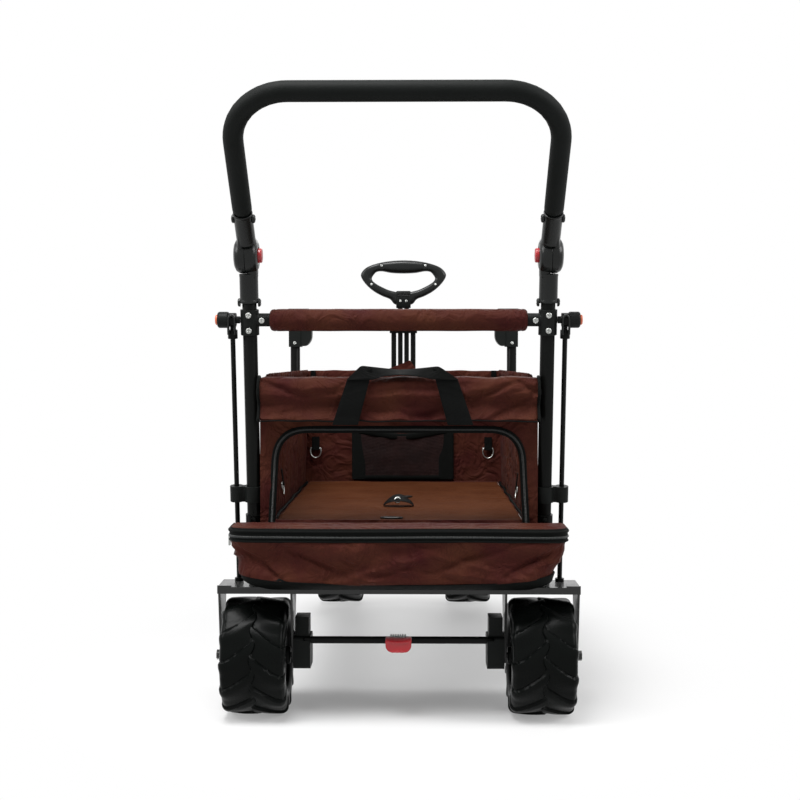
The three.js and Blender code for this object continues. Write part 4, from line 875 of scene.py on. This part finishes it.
x = np.linspace(-ROLL_HALF, ROLL_HALF, 240)[:, None]
turn = np.linspace(0, 1, 120, endpoint=False)[None, :]
section = roll_section(x, turn)
for _ in range(3):
    section = (section + np.roll(section, 1, axis=-1) + np.roll(section, -1, axis=-1)) / 3
roll_y, roll_z = section
on_front = np.clip((4 - roll_y) / 14, 0, 1)
fold = set_folds(ROLL_FOLDS, x, roll_z, 6.5)
crumple = 4.6 * creases(x / 110, roll_z / 40, 33) - fold
roll_y = roll_y + crumple * on_front + 2.6 * slack(x / 100, roll_z / 50, 34) * on_front
roll_z = roll_z + 1.0 * slack(x / 90, turn, 35) + 0.6 * slack(x / 33, turn, 36)
at_end = np.exp(-(ROLL_HALF - np.abs(x)) / 3.0)
roll_y = np.maximum(roll_y * (1 - 0.25 * at_end) + at_end, -17.5)
roll_z = roll_z * (1 - 0.12 * at_end) + 0.12 * at_end * 558
door_roll = closed("rolled_up_door", xyz(x, roll_y, roll_z), tub_cloth, "rear_frame", ("rolled_door",))


def roll_front(z):
    """How far the roll's front stands at the height z, used to lay straps on it."""
    heights = [520.6, 522.5, 535, 547, 553.5, 562, 575, 587, 593, 596]
    return np.interp(z, heights, [-14, -14, -6.5, -2, -5, -13.4, -14.6, -10.5, -4, 6])


hem = xyz(np.linspace(-240, 240, 120), -13.4, 519.6 + 0.8 * slack(np.linspace(-4, 4, 120), 0, 37))
carried("door_hem", hem, ALONG_Y, 1.2, piping, "rear_frame", 20, 1.5)
for side, s in SIDES:
    ring = xyz(s * 240.6, *roll_section(np.zeros(60), np.linspace(0, 1, 60, endpoint=False)))
    carried("roll_binding_" + side, ring, ALONG_X, 2.4, piping, "rear_frame", 14, 2.6, True)
print("door rolled over", round(2 * ROLL_HALF), "mm")

# %% [markdown]
# ## The carry handle
# A strap of black webbing, 44 mm wide, is sewn down the front of the roll at both ends and folded over at
# an angle at the top, where it becomes the run that the hand takes. Webbing is stiff across its width, so
# each part is a ruled strip: the middle line of the strap, and a straight crosswise line at each point.


# %% Webbing straps
def strip(name, left, right, thick, material, body, replaced=(), columns=15):
    """A strap between two edge lines, as a closed skin with a thickness. Each crosswise line is straight."""
    share = np.linspace(0, 1, columns)[None, :, None]
    middle = left[:, None] * (1 - share) + right[:, None] * share
    normal = np.cross(np.gradient(middle, axis=0), np.gradient(middle, axis=1))
    normal /= np.maximum(np.linalg.norm(normal, axis=-1, keepdims=True), 1e-9)
    offset = normal * np.sqrt(np.clip(1 - (2 * share - 1) ** 8, 0.08, 1)) * thick / 2
    rows = np.concatenate([middle + offset, (middle - offset)[:, ::-1]], axis=1)
    return closed(name, rows, material, body, replaced)


STRAP, STRAP_FOOT, STRAP_RISE, STRAP_SKEW = 44.0, 513, 76.0, 21.0
rise = np.linspace(0, 1, 40)
for number, (foot, head, lean) in enumerate(((-91.0, -66.0, 1), (106.0, 80.0, -1))):
    edges = []
    for edge in (-0.5, 0.5):
        z = STRAP_FOOT + (STRAP_RISE + STRAP_SKEW * (0.5 + lean * edge)) * rise
        y = np.minimum(roll_front(np.minimum(z, 586)) - 5.0, -18.4 - 1.0 * rise)
        y = y - 1.2 * np.sin(5.2 * rise + number) * np.sin(math.pi * rise)
        edges.append(xyz(foot + (head - foot) * rise + edge * STRAP, y, z))
    strip(f"carry_strap_{number}", *edges, 1.9, webbing, "rear_frame")


def along_run(values):
    """Values at seven stations of the run, joined smoothly."""
    line = np.interp(np.linspace(0, 1, 90), (0.0, 0.14, 0.3, 0.5, 0.7, 0.86, 1.0), values)
    for _ in range(3):
        line[1:-1] = (line[:-2] + 2 * line[1:-1] + line[2:]) / 4
    return line


LOWER_RUN = ((-87, -43, -26, 2, 30, 57, 101), (-21.6, -22, -20, -17, -20, -22, -21.6))
LOWER_RUN += ((589, 590.5, 596, 598.5, 596.5, 591, 589),)
UPPER_RUN = ((-88, -64, -34, 2, 38, 69, 102), (-21, -19, -4, 4, -4, -19, -21))
UPPER_RUN += ((591, 614.5, 611, 607, 610, 613.5, 591),)
lower, upper = (xyz(*(along_run(values) for values in run)) for run in (LOWER_RUN, UPPER_RUN))
strip("carry_strap_run", lower, upper, 1.9, webbing, "rear_frame", ("carry_handle",))

# %% [markdown]
# ## The foot box
# Below the doorway a stiffened pocket reaches out to the rear, so that a child's feet have room. It is a
# shell: at each height its outline is a rounded oblong, wider at the top, and between its seams the cloth
# slumps into shallow creases. A black base cloth is sewn to it along a seam that dips towards the middle,
# and a heavy black zip runs round its top edge.

# %% Foot box shell
BOX_TOP, BOX_FOOT, BOX_FRONT = 340.5, 229.6, 21.6
BOX_HALF, BOX_DEEP, AROUND = 286.0, 78.0, 420
WIDEST_AT, FREE_FROM, FREE_TO, ZIP_AT = 318.0, 236, 322, 328.0
corners = [(-BOX_HALF, 0.0), (BOX_HALF, 0.0), (BOX_HALF, BOX_DEEP), (-BOX_HALF, BOX_DEEP)]
oblong = even_loop(eased(corners, (2, 2, 42, 42), 12, True), AROUND)
share_x, share_y = oblong[:, 0] / BOX_HALF, oblong[:, 1] / BOX_DEEP
seam_height = 241.5 + 19 * np.abs(share_x) ** 3.2
BOX_FOLDS = (
    (-241, 276, -0.9, 40, 9), (-150, 286, -0.5, 50, 7), (-115, 254, 0.3, 50, 6), (-20, 264, 0.25, 60, 6),
    (130, 290, 0.35, 60, 7), (90, 256, -0.2, 50, 6), (234, 282, 0.6, 45, 9), (190, 262, -0.5, 40, 6),
)


def box_shell(height, crumple=1.0):
    """Points of the shell at a height for each point of the outline: half width and depth grow with the
    height, and slack, creases and the set folds push the cloth in and out between the seams."""
    t = np.clip((height - BOX_FOOT) / (WIDEST_AT - BOX_FOOT), 0, 1)
    tuck = np.sqrt(np.clip(1 - t / 0.2, 0, 1)) ** 3
    half = 252 + 35 * t**0.8 - 22 * tuck
    deep = 69 + 8 * t - 30 * tuck
    between_seams = np.clip((height - FREE_FROM) / (FREE_TO - FREE_FROM), 0, 1)
    held = np.clip(np.sin(math.pi * between_seams), 0, 1) ** 0.7
    around = np.linspace(0, 1, AROUND, endpoint=False) * 14
    push = 4.6 * slack(around / 1.5, height / 44, 41) + 10.0 * creases(around / 1.7, height / 50, 42) - 3.0
    push = (push - set_folds(BOX_FOLDS, oblong[:, 0], height, 6.0)) * held
    push = np.clip(push * crumple + 2.0 * held, -10, 9)
    x = share_x * half + np.sign(share_x) * np.abs(share_x) ** 6 * push
    return xyz(x, BOX_FRONT - share_y * deep - np.clip(share_y * 1.2 - 0.2, 0, 1) * push, height)


def closing_rows(ring, height, steps, drop=0.0):
    """Rows that shrink the last ring towards its middle line, to close the shell above or below."""
    share = np.linspace(0, 1, steps + 1)[1:, None, None]
    flat = ring[None] * (1 - share) + xyz(ring[:, 0] * 0.86, -18.0, height)[None] * share
    share = share[..., 0]
    uneven = 0.6 + 0.4 * slack(ring[None, :, 0] / 70, share, 43)
    flat[..., 2] = height + drop * np.sin(math.pi * share) * uneven
    return flat


def level_ring(height, crumple=1.0):
    """The shell's outline at one height, as one row."""
    return box_shell(np.full((1, AROUND), height), crumple)


body_rows = box_shell(seam_height + (BOX_TOP - 3 - seam_height) * np.linspace(0, 1, 34)[:, None])
lip = level_ring(BOX_TOP - 1.0)
rows = np.concatenate([body_rows, lip, closing_rows(lip[0], BOX_TOP, 7, 2.6)])
foot_box = closed("foot_box_cloth", rows, tub_cloth, "rear_frame", ("foot_box",))

base_rows = box_shell(BOX_FOOT + (seam_height + 1.5 - BOX_FOOT) * np.linspace(0, 1, 8)[:, None], 0.5)
base_rows[..., 0] += np.sign(share_x)
base_rows[..., 1] -= np.clip(share_y, 0, 1)
rows = np.concatenate([closing_rows(base_rows[0], BOX_FOOT, 4)[::-1], base_rows])
closed("foot_box_base", rows, piping, "rear_frame", slot="brown_fabric")

ring = level_ring(ZIP_AT, 0.0)[0]
zip_line = ring[share_y > 0.02]
zip_line = zip_line[np.argsort(np.unwrap(np.arctan2(zip_line[:, 1] - 60, zip_line[:, 0])))]
outwards = np.gradient(zip_line[:, :2], axis=0)[:, ::-1] * (1, -1)
outwards /= np.linalg.norm(outwards, axis=1, keepdims=True)
outwards *= np.sign((outwards * (zip_line[:, :2] - (0, 60))).sum(axis=1))[:, None]
outwards = xyz(outwards[:, 0], outwards[:, 1], 0.0)[:, None]
angle = turn_angles(14)[None, :, None]
for name, height, half, thick, material in (
    ("foot_zip_tape", ZIP_AT, 12.2, 4.4, piping),
    ("foot_zip_ridge", 334.6, 3.0, 8.6, piping),
    ("foot_zip_coil", 325.5, 2.6, 7.6, zip_coil),
    ("foot_zip_seam", 318.2, 1.6, 6.8, piping),
):
    line = xyz(zip_line[:, 0], zip_line[:, 1], height + 0.5 * np.sin(zip_line[:, 0] / 61))
    wide = np.cos(angle) * half * np.array([0, 0, 1.0])
    rings = line[:, None] + wide + np.sin(angle) * (thick / 2) * outwards
    closed(name, rings, material, "rear_frame")
print("foot box", round(2 * ring[:, 0].max()), "mm wide")

# %% [markdown]
# ## Side walls and front wall
# The side walls are single cloth, gathered on elastic along the rim, so they hang in folds that start sharp
# at the hem and fade out downwards. When the wagon folds, the real cloth crumples between the two end
# frames.

# %% Side walls
WALL_START, WALL_END = 29.0, 799.0
WALL_X, BULGE = 233.6, 8
WALL_LOW, FLANGE_X = 333.5, 222.4
GATHER, GATHER_DEPTH, HEM_RISE = 34, 5.6, 3.8


def gathers(y, seed):
    """Waves from 0 to 1 about 34 mm long, whose spacing drifts with the slack field."""
    return 0.5 + 0.5 * np.sin(2 * math.pi * (y / GATHER + 0.35 * slack(y / 120, 0.0, seed)))


def crumples(made):
    """Gives the piece its own copy of its mesh."""
    tuple(metres((0, WALL_START, 400)))
    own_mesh(made)


def smooth_hump(share, power=1.0):
    """0 at both ends and 1 in the middle: sin(pi t) to a power."""
    return np.sin(math.pi * share) ** power


along = np.linspace(0, 1, 260)[:, None]
up = np.linspace(0, 1, 64)[None, :]
flange = np.linspace(0, 1, 8)[None, :]
y = WALL_START + (WALL_END - WALL_START) * along
for (side, s), seed in zip(SIDES, (51, 61)):
    gather = gathers(y, seed)
    inward = 1.0 + GATHER_DEPTH * gather**1.5 * up**3.2
    inward = inward + 1.3 * (1 + slack(y / 150, up * 2, seed + 1)) * smooth_hump(up, 0.8)
    inward = inward + 2.6 * creases(y / 150, up * 1.7, seed + 2) * smooth_hump(up)
    hang = np.sin(2 * math.pi * (y / 47 + 0.4 * slack(y / 160, up, seed + 3)))
    inward = inward + 1.7 * hang * smooth_hump(up, 0.6)
    inward = inward * np.clip(np.minimum(along, 1 - along) * 30, 0.1, 1)
    x = WALL_X - np.clip(inward, 0, BULGE)
    z = WALL_LOW + (RIM - WALL_LOW) * up + HEM_RISE * (gather - 0.4) * up**8
    flange_z = 335.4 + 4.0 * np.sin(y / 19) * flange * (1 - flange) - 1.9 * flange
    flange_points = xyz(s * (FLANGE_X + (x[:, :1] - FLANGE_X) * flange), y, flange_z)
    grid = np.concatenate([flange_points[:, :-1], xyz(s * x, y, z)], axis=1)
    mesh = skin("side_cloth_" + side, grid)
    wall = piece("side_cloth_" + side, mesh, tub_cloth, "rear_frame", ("side_wall_" + side,), 80)
    thickened(wall, 1.2)
    crumples(wall)

    rim_y = np.linspace(WALL_START + 2, WALL_END - 2, 200)
    gather = gathers(rim_y, seed)
    rim_x = s * (WALL_X - np.clip(1.0 + GATHER_DEPTH * gather**1.5, 0, BULGE))
    rim_line = xyz(rim_x, rim_y, RIM - 1.5 + HEM_RISE * (gather - 0.4))
    crumples(carried("rim_hem_" + side, rim_line, ALONG_Z, 1.6, tub_cloth, "rear_frame", 14, 6.5))
    foot_y = np.linspace(66, 762, 150)
    foot_line = xyz(s * (225.4 + 0.9 * np.sin(foot_y / 23)), foot_y, 338.2 + 0.9 * np.sin(foot_y / 31))
    crumples(carried("floor_seam_" + side, foot_line, ALONG_Z, 2.8, piping, "rear_frame", 14, 2.4))


# %% Front wall and the strip of cloth below it
FRONT_Y = 802.2


def front_sheet(name, grid, material, thick_mm, replaced=()):
    """An open grid as a sheet on the front end frame, with its thickness."""
    made = piece(name, skin(name, grid), material, "front_end", replaced, 80)
    thickened(made, thick_mm)
    return made


x = np.linspace(-WALL_HALF, WALL_HALF, 160)[:, None]
up = np.linspace(0, 1, 70)[None, :]
held = smooth_hump(up, 0.6) * np.clip((WALL_HALF - np.abs(x)) / 30, 0.05, 1)
y = FRONT_Y + (1.6 * slack(x / 110, up * 2, 71) - 3.2 * creases(x / 120, up * 2, 72)) * held
front_cloth = front_sheet("front_cloth", xyz(x, y, 333 + (RIM - 333) * up), tub_cloth, 1.6, ("front_wall",))
hem_line = xyz(np.linspace(-243, 243, 90), FRONT_Y, 590 + 0.8 * slack(np.linspace(-4, 4, 90), 0, 73))
carried("front_hem", hem_line, ALONG_Z, 2.4, tub_cloth, "front_end", 16, 9.0)

x = np.linspace(-222, 222, 90)[:, None]
back = np.linspace(0, 1, 14)[None, :]
z = 335.5 - 3.0 * np.sqrt(back) - 1.4 * smooth_hump(back) + 0.5 * slack(x / 60, back, 75)
floor_cloth = front_sheet("front_floor_cloth", xyz(x, 801.0 - 39.5 * back, z), tub_cloth, 1.2)
tuple(metres((0, 801, 335)))
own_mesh(floor_cloth)

# %% The net pocket and its borders
POCKET_LEFT, POCKET_RIGHT, POCKET_FOOT, POCKET_TOP = -108.0, 104.0, 343.0, 456.0
POCKET_DIP, POCKET_BELLY = 13, 7.5
across = np.linspace(0, 1, 90)[:, None]
up = np.linspace(0, 1, 44)[None, :]
x = POCKET_LEFT + (POCKET_RIGHT - POCKET_LEFT) * across
z = POCKET_FOOT + (POCKET_TOP - POCKET_DIP * smooth_hump(across, 1.5) - POCKET_FOOT) * up
y = 796.6 - POCKET_BELLY * smooth_hump(across, 0.7) * up**0.8
y = y - 2.0 * slack(x / 60, up * 2, 74) * up * smooth_hump(across)
pocket = front_sheet("net_pocket", xyz(x, y, z), netting, 0.8)
pocket_x = np.linspace(POCKET_LEFT, POCKET_RIGHT, 70)
bow = np.clip(smooth_hump((pocket_x - POCKET_LEFT) / (POCKET_RIGHT - POCKET_LEFT)), 0, 1)
hem_top = xyz(pocket_x, 796.2 - POCKET_BELLY * bow**0.7, POCKET_TOP - POCKET_DIP * bow**1.5)
carried("pocket_elastic", hem_top, ALONG_Z, 1.6, piping, "front_end", 16, 7.0)
for name, left, right in (("left", -122.0, -90.0), ("right", 84.0, 119.0)):
    z = np.linspace(POCKET_FOOT - 2, 588, 20)
    border = (xyz(edge, 795.2, z) for edge in (left, right))
    strip("pocket_border_" + name, *border, 1.2, piping, "front_end")
foot_line = xyz(pocket_x, 796.0, POCKET_FOOT + 2)
carried("pocket_foot_tape", foot_line, ALONG_Z, 1.6, piping, "front_end", 16, 5.0)

# %% Straps that hold the front wall's rim, and its small flap
for side, s in SIDES:
    edges = (xyz(s * 214.0 + half, 797.6, np.linspace(570, 599, 14)) for half in (-6, 6))
    strip("rim_strap_" + side, *edges, 1.6, webbing, "front_end")
flap_x = np.linspace(-51, 28, 40)
peak = np.interp(flap_x, [-51, 16, 28], [0.0, 1.0, 0.35])
low, high = xyz(flap_x, 806.0, 590.0), xyz(flap_x, 806.0 - 4.0 * peak, 597.0 + 26.0 * peak)
strip("rim_flap", low, high, 1.6, tub_cloth, "front_end", columns=12)

# %% [markdown]
# ## The mat
# The mat is two thin padded boards in the same brown cloth, hinged in the middle so that the wagon can
# fold. Its section is a flat oblong with eased edges, and the cloth on top lies in long shallow creases, as
# it does where it has been folded often. Two slots let the belt straps through, and a webbing loop lifts
# the floor to fold it.

# %% Mats, slots and pull loop
MAT_LOW, MAT_HIGH, MAT_HALF = 325.4, 338.9, 221.3


def mat_grid(start, end, seed):
    """Rows along Y. Each row is the eased outline of a flat oblong; the last 4 mm at both ends shrink."""
    box = [(-MAT_HALF, MAT_LOW), (MAT_HALF, MAT_LOW), (MAT_HALF, MAT_HIGH), (-MAT_HALF, MAT_HIGH)]
    x, z = even_loop(eased(box, 4.0, 6, True), 260).T[:, None, :]
    from_edge = np.r_[0, 0.8, 2, 4, 7]
    y = np.r_[start + from_edge, np.linspace(start + 12, end - 12, 90), (end - from_edge)[::-1]][:, None]
    near_end = np.clip(np.minimum(y - start, end - y) / 4, 0, 1)
    pull = 3.2 * (1 - np.sqrt(np.clip(1 - (1 - near_end) ** 2, 0, 1)))
    middle = (MAT_LOW + MAT_HIGH) / 2
    top = np.clip((z - middle) / (MAT_HIGH - middle), 0, 1)
    inside = np.clip((MAT_HALF - np.abs(x)) / 18, 0, 1)
    lift = 0.9 * slack(x / 120, y / 90, seed) + 1.5 * creases(x / 160, y / 70, seed + 1)
    return xyz(x, y, z + (lift - 0.8) * top * inside - np.sign(z - middle) * pull)


for name, start, end, seed in (("rear", 66.3, 412.6, 81), ("front", 413.5, 759.8, 91)):
    grid = mat_grid(start, end, seed)
    mat = closed("mat_pad_" + name, grid, mat_cloth, "floor_" + name, ("floor_mat_" + name,))


def ring_line(half_x, half_y, count=48):
    """An ellipse in the plane of the floor."""
    angle = turn_angles(count)
    return xyz(half_x * np.cos(angle), half_y * np.sin(angle), 0.0)


for number, (x0, y0, body) in enumerate(((-14.0, 96.0, "floor_rear"), (2.0, 440.0, "floor_front"))):
    line = ring_line(19, 8.5) + (x0, y0, 339.4)
    carried(f"slot_rim_{number}", line, ALONG_Z, 2.0, nylon, body, 16, 1.5, True)
    edges = (xyz(x0 + half, y0 + np.linspace(-4, 4, 12), 339.5) for half in (-14, 14))
    strip(f"slot_strap_{number}", *edges, 1.0, zinc, body)


def eyelet_seat(points):
    """Points about the eyelet's middle, turned by 62 degrees to face the rear."""
    return metres(leaned(points, math.radians(62), (-6.0, 267.0, 352.0)))


t = np.linspace(0, 1, 40)
hump = smooth_hump(t)
loop_x, loop_z = -33 + 58 * t, 340.6 + 17 * hump**0.8
near, far = xyz(loop_x, 268 - 10 * hump, loop_z - 7 * hump), xyz(loop_x, 292, loop_z + 3 * hump)
strip("lift_loop", near, far, 1.8, webbing, "floor_rear")
eyelet = ring_line(5.2, 5.2, 32)
carried("lift_eyelet", eyelet, ALONG_Z, 1.6, zinc, "floor_rear", 12, looped=True, seat=eyelet_seat)

# %% [markdown]
# ## D-rings for the belts
# Harness straps clip to D-rings that hang from webbing tabs on the side walls and the front wall. A D-ring
# is a 3 mm wire bent into a straight and a bow, so it is a circle carried along a closed line.


# %% D-rings on webbing tabs
def d_ring(name, centre, out, body):
    """A ring in the plane across the wall's normal, hanging below its tab."""
    centre, out, rise = (np.asarray(v, float) for v in (centre, out, ALONG_Z))
    right = np.cross(rise, out)
    angle = turn_angles(48)[:, None]
    line = centre + 12.5 * np.cos(angle) * right + np.minimum(-15.5 * np.sin(angle), 7.5) * rise
    line = line + out * (3.6 + 1.5 * np.sin(angle))
    ring = carried(name, line, out, 1.5, zinc, body, 12, looped=True)
    z = np.linspace(3, 34, 12)[:, None]
    base = centre + z * rise + out * np.interp(z, [3, 12, 34], [5.8, 4.0, 1.2])
    return ring, strip(name + "_tab", base - 9 * right, base + 9 * right, 1.6, webbing, body)


rings = d_ring("belt_ring_left", (-226.5, 210.0, 384.0), (1, 0, 0), "rear_frame")
rings += d_ring("belt_ring_right", (226.5, 238.0, 373.0), (-1, 0, 0), "rear_frame")
for made in rings:
    crumples(made)
d_ring("belt_ring_far_left", (-208.0, 797.5, 408.0), (0, -1, 0), "front_end")
d_ring("belt_ring_far_right", (201.0, 797.5, 407.0), (0, -1, 0), "front_end")

# %% [markdown]
# ## The pull handle's grip
# The D-shaped grip is moulded nylon, thick where the hand holds it and slimmer where its two arms run down
# into the neck. It is one rounded section carried round a closed line, and the section swells along the
# top.

# %% Pull grip
OUTER_HALF = [(0, 861.5), (30, 859.8), (55, 855.8), (78, 849), (92, 841), (101, 829), (99, 817.5)]
OUTER_HALF += [(87, 801.5), (70, 787), (50, 776), (32, 768.5), (21, 757), (0, 753)]
INNER_HALF = [(0, 829.8), (28, 831), (50, 834.8), (62, 834), (68.5, 829.5), (75, 819.5), (72.5, 812)]
INNER_HALF += [(63, 804.5), (50, 797.5), (34, 790.5), (16, 786.3), (8, 786), (0, 786)]
GRIP_Y = 819


def rounded_ring(half, steps=9):
    """The half outline and its mirror image as one closed line, each stretch a Catmull-Rom curve of its four
    nearest points."""
    ring = np.vstack([half, np.array(half[-2:0:-1]) * (-1, 1)])
    p = [np.roll(ring, shift, axis=0)[:, None] for shift in (1, 0, -1, -2)]
    t = np.linspace(0, 1, steps, endpoint=False)[None, :, None]
    cubic = 2 * p[0] - 5 * p[1] + 4 * p[2] - p[3] + t * (3 * (p[1] - p[2]) + p[3] - p[0])
    return (p[1] + 0.5 * t * (p[2] - p[0] + t * cubic)).reshape(-1, 2)


outer_ring, inner_ring = rounded_ring(OUTER_HALF), rounded_ring(INNER_HALF)
middle, reach = (outer_ring + inner_ring) / 2, (outer_ring - inner_ring) / 2
on_bar = smooth_step(middle[:, 1], 828, 845) * (1 - smooth_step(np.abs(middle[:, 0]), 44, 60))
deep = (9.0 + 3.6 * on_bar)[:, None]
wide, tall = squared(40, 0.75)
ring_x, ring_z = (middle[:, i : i + 1] + reach[:, i : i + 1] * wide for i in (0, 1))
rows = xyz(ring_x, GRIP_Y + deep * tall, ring_z)
closed("pull_grip_ring", rows, satin_nylon, "pull_upper", ("pull_grip",), loop=True)

NECK = [(747.6, 16.5, 10.4), (749, 17.4, 11.4), (786, 17.4, 11.4), (788, 16.0, 10.2)]
neck_z, neck_half, neck_deep = np.array(NECK).T[:, :, None]
wide, tall = squared(40, 0.35)
closed("pull_neck", xyz(neck_half * wide, GRIP_Y + neck_deep * tall, neck_z), nylon, "pull_upper")
grip_screws = ((-7, 807.6, 764), (7, 807.6, 764), (-76, 810.2, 803.8), (76, 810.2, 803.8))
for number, place in enumerate((*grip_screws, (-52, 807.9, 848.0), (52, 807.9, 848.0))):
    add_screw(f"grip_screw_{number}", place, (0, -1, 0), "pull_upper", 3.0, 1.6)
for number, z in enumerate((777.0, 780.5, 784.0)):
    rib = xyz(np.linspace(-15, 15, 12), 807.6, z)
    carried(f"neck_rib_{number}", rib, ALONG_Y, 0.9, satin_nylon, "pull_upper", 12, 1.2)

# %% [markdown]
# ## The brake pedal and its spring
# One red pedal in the middle of the brake rod locks both rear wheels. It is a moulded pad with rounded
# lower corners and shallow upright ribs for the toe. A bright torsion spring is wound round the rod above
# it; a spring is a circle carried along a helix, whose middle line is (pitch t, R cos t, R sin t).


# %% Pedal and spring
def layered(outline, shrink, middle):
    """A flat outline repeated in layers, each drawn in towards the middle by its own share."""
    return middle + (outline - middle) * np.array(shrink)[:, None, None]


ROD_Y, ROD_Z = 20.0, 134.6
PEDAL = [(-22.5, 141.0), (22.5, 141.0), (22.0, 130.0), (15.0, 122.6), (-15.0, 122.6), (-22.0, 130.0)]
pedal_line = even_loop(eased(PEDAL, (2, 2, 5, 8, 8, 5), 8, True), 120)
depth_y = np.array([-22.0, -24.0, -24.4, -24.4, -23.6, 6.0, 12.6, 13.0])[:, None]
flat = layered(pedal_line, (0.55, 0.86, 0.93, 0.97, 1.0, 1.0, 0.97, 0.6), np.array([0, 131.8]))
x, z = flat[..., 0], flat[..., 1]
toe_ribs = 0.7 * np.sin(x / 1.3) * (np.abs(x) < 17) * (depth_y < -23)
rows = xyz(x, depth_y + toe_ribs, z + 2.4 * (x / 22) ** 2 * (z > 136))
closed("pedal_pad", rows, red_abs, "brake_lever", ("brake_pedal",))
turns = np.linspace(0, 7 * 2 * math.pi, 420)
coil = xyz(-14.5 + 29 * turns / turns[-1], ROD_Y + 9.6 * np.cos(turns), ROD_Z + 9.6 * np.sin(turns))
carried("rod_spring", coil, ALONG_X, 1.25, zinc, "brake_lever", 12)

# %% [markdown]
# ## Small fittings
# Each stay rod ends in a clevis, a small arch that straddles its eye. The front bar's corner brackets have
# a rounded web towards the middle. Both are drawn over the solids that carry them.

# %% Clevises and bracket webs
arch_turn = np.linspace(0, math.pi, 24)
legs = np.linspace(-24, 0, 10)[:-1]
arch_x = 5.6 * np.r_[np.ones(9), np.cos(arch_turn), -np.ones(9)]
arch_z = np.r_[legs, 9.0 * np.sin(arch_turn), legs[::-1]]
WEB = np.array([(216.0, 712.0), (242.0, 712.0), (242.0, 657.0), (228.0, 657.0), (216.0, 672.0)])
web_y = np.array([780.6, 780.0, 780.0, 810.0, 810.0, 809.4])[:, None]
for side, s in SIDES:
    path = xyz(s * 286.0 + arch_x, -11.6, arch_z)
    carried("clevis_" + side, path, ALONG_Y, 2.1, satin_nylon, "rear_frame", 18, 3.0, seat=post_seat)
    web = even_loop(eased(WEB * (s, 1), (3, 3, 6, 12, 12), 8, True), 90)
    flat = layered(web, (0.7, 0.93, 1.0, 1.0, 0.93, 0.7), web.mean(axis=0))
    closed("bracket_web_" + side, xyz(flat[..., 0], web_y, flat[..., 1]), nylon, "front_end")
print("cloth, mats, grip and fittings are in place")

# %% [markdown]
# ## Floor and light
# The wagon stands on plain pale ground under broad soft light, as in a catalogue. Four large lamps give
# most of the light: one overhead, one on each side and a weak one behind. The world adds a little. The
# background is white through the camera's own rays, and the floor fades into it away from the wagon's
# shadow.

# %% Floor, lamps and world
WHITE = (1, 1, 1, 1)


def seen_directly(tree):
    """1 for rays from the camera, and for rays that metal or glass sends on."""
    path = add(tree, "LightPath")
    eye = path.outputs["Is Camera Ray"]
    for ray in ("Is Glossy Ray", "Is Transmission Ray"):
        eye = add(tree, "Math", {0: eye, 1: path.outputs[ray]}, operation="MAXIMUM").outputs["Value"]
    return eye


ground = bpy.data.meshes.new("studio_floor")
ground.from_pydata([(-30, -12, 0), (30, -12, 0), (30, 60, 0), (-30, 60, 0)], [], [(0, 1, 2, 3)])
floor = link("studio_floor", ground)
floor_paint, tree, shader = new_material("pale_studio_floor", Roughness=0.55)
place = add(tree, "TexCoord").outputs["Object"]
cloud = add(tree, "TexNoise", {"Vector": place, "Scale": 0.8, "Detail": 2.0})
feed(tree, shader, Base_Color=between(tree, cloud.outputs["Fac"], "#E4E4E4", "#DFDFDF"))
centred = add(tree, "Mapping", {"Vector": place, "Scale": (1, 0.85, 0)}).outputs["Vector"]
away = add(tree, "VectorMath", {0: centred}, operation="LENGTH").outputs["Value"]
reach = {"Value": away, "From Min": 0.34, "From Max": 0.74, "To Min": 0.2}
far = add(tree, "MapRange", reach, interpolation_type="SMOOTHSTEP").outputs["Result"]
share = add(tree, "Math", {0: seen_directly(tree), 1: far}, operation="MULTIPLY").outputs["Value"]
paper = add(tree, "Emission", {"Color": WHITE, "Strength": 1.0}).outputs["Emission"]
blend = add(tree, "MixShader", {0: share, 1: shader.outputs["BSDF"], 2: paper})
tree.links.new(blend.outputs["Shader"], tree.nodes["Material Output"].inputs["Surface"])
ground.materials.append(floor_paint)

for name, place_mm, aim_mm, size, power in (
    ("broad_overhead", (-520, -760, 3000), (0, 250, 300), 1.3, 102),
    ("fill_left", (-2200, -700, 2000), (0, 200, 450), 1.2, 34),
    ("fill_right", (2300, -700, 2000), (0, 200, 450), 1.2, 42),
    ("rim_behind", (300, 2600, 2200), (0, 300, 500), 1.8, 18),
):
    light = bpy.data.lights.new(name, "AREA")
    light.size, light.energy = size, power
    lamp = link(name, light)
    lamp.location = metres(place_mm)
    lamp.rotation_euler = (Vector(metres(aim_mm)) - lamp.location).to_track_quat("-Z", "Y").to_euler()

world = bpy.data.worlds.new("white_studio")
bpy.context.scene.world = world
world.use_nodes = True
tree = world.node_tree
tree.nodes.clear()
glow, white = (add(tree, "Background", {"Color": WHITE, "Strength": level}) for level in (0.13, 1.0))
both = {0: seen_directly(tree), 1: glow.outputs["Background"], 2: white.outputs["Background"]}
both = add(tree, "MixShader", both)
tree.links.new(both.outputs["Shader"], add(tree, "OutputWorld").inputs["Surface"])
bpy.context.scene.view_settings.view_transform = "Standard"
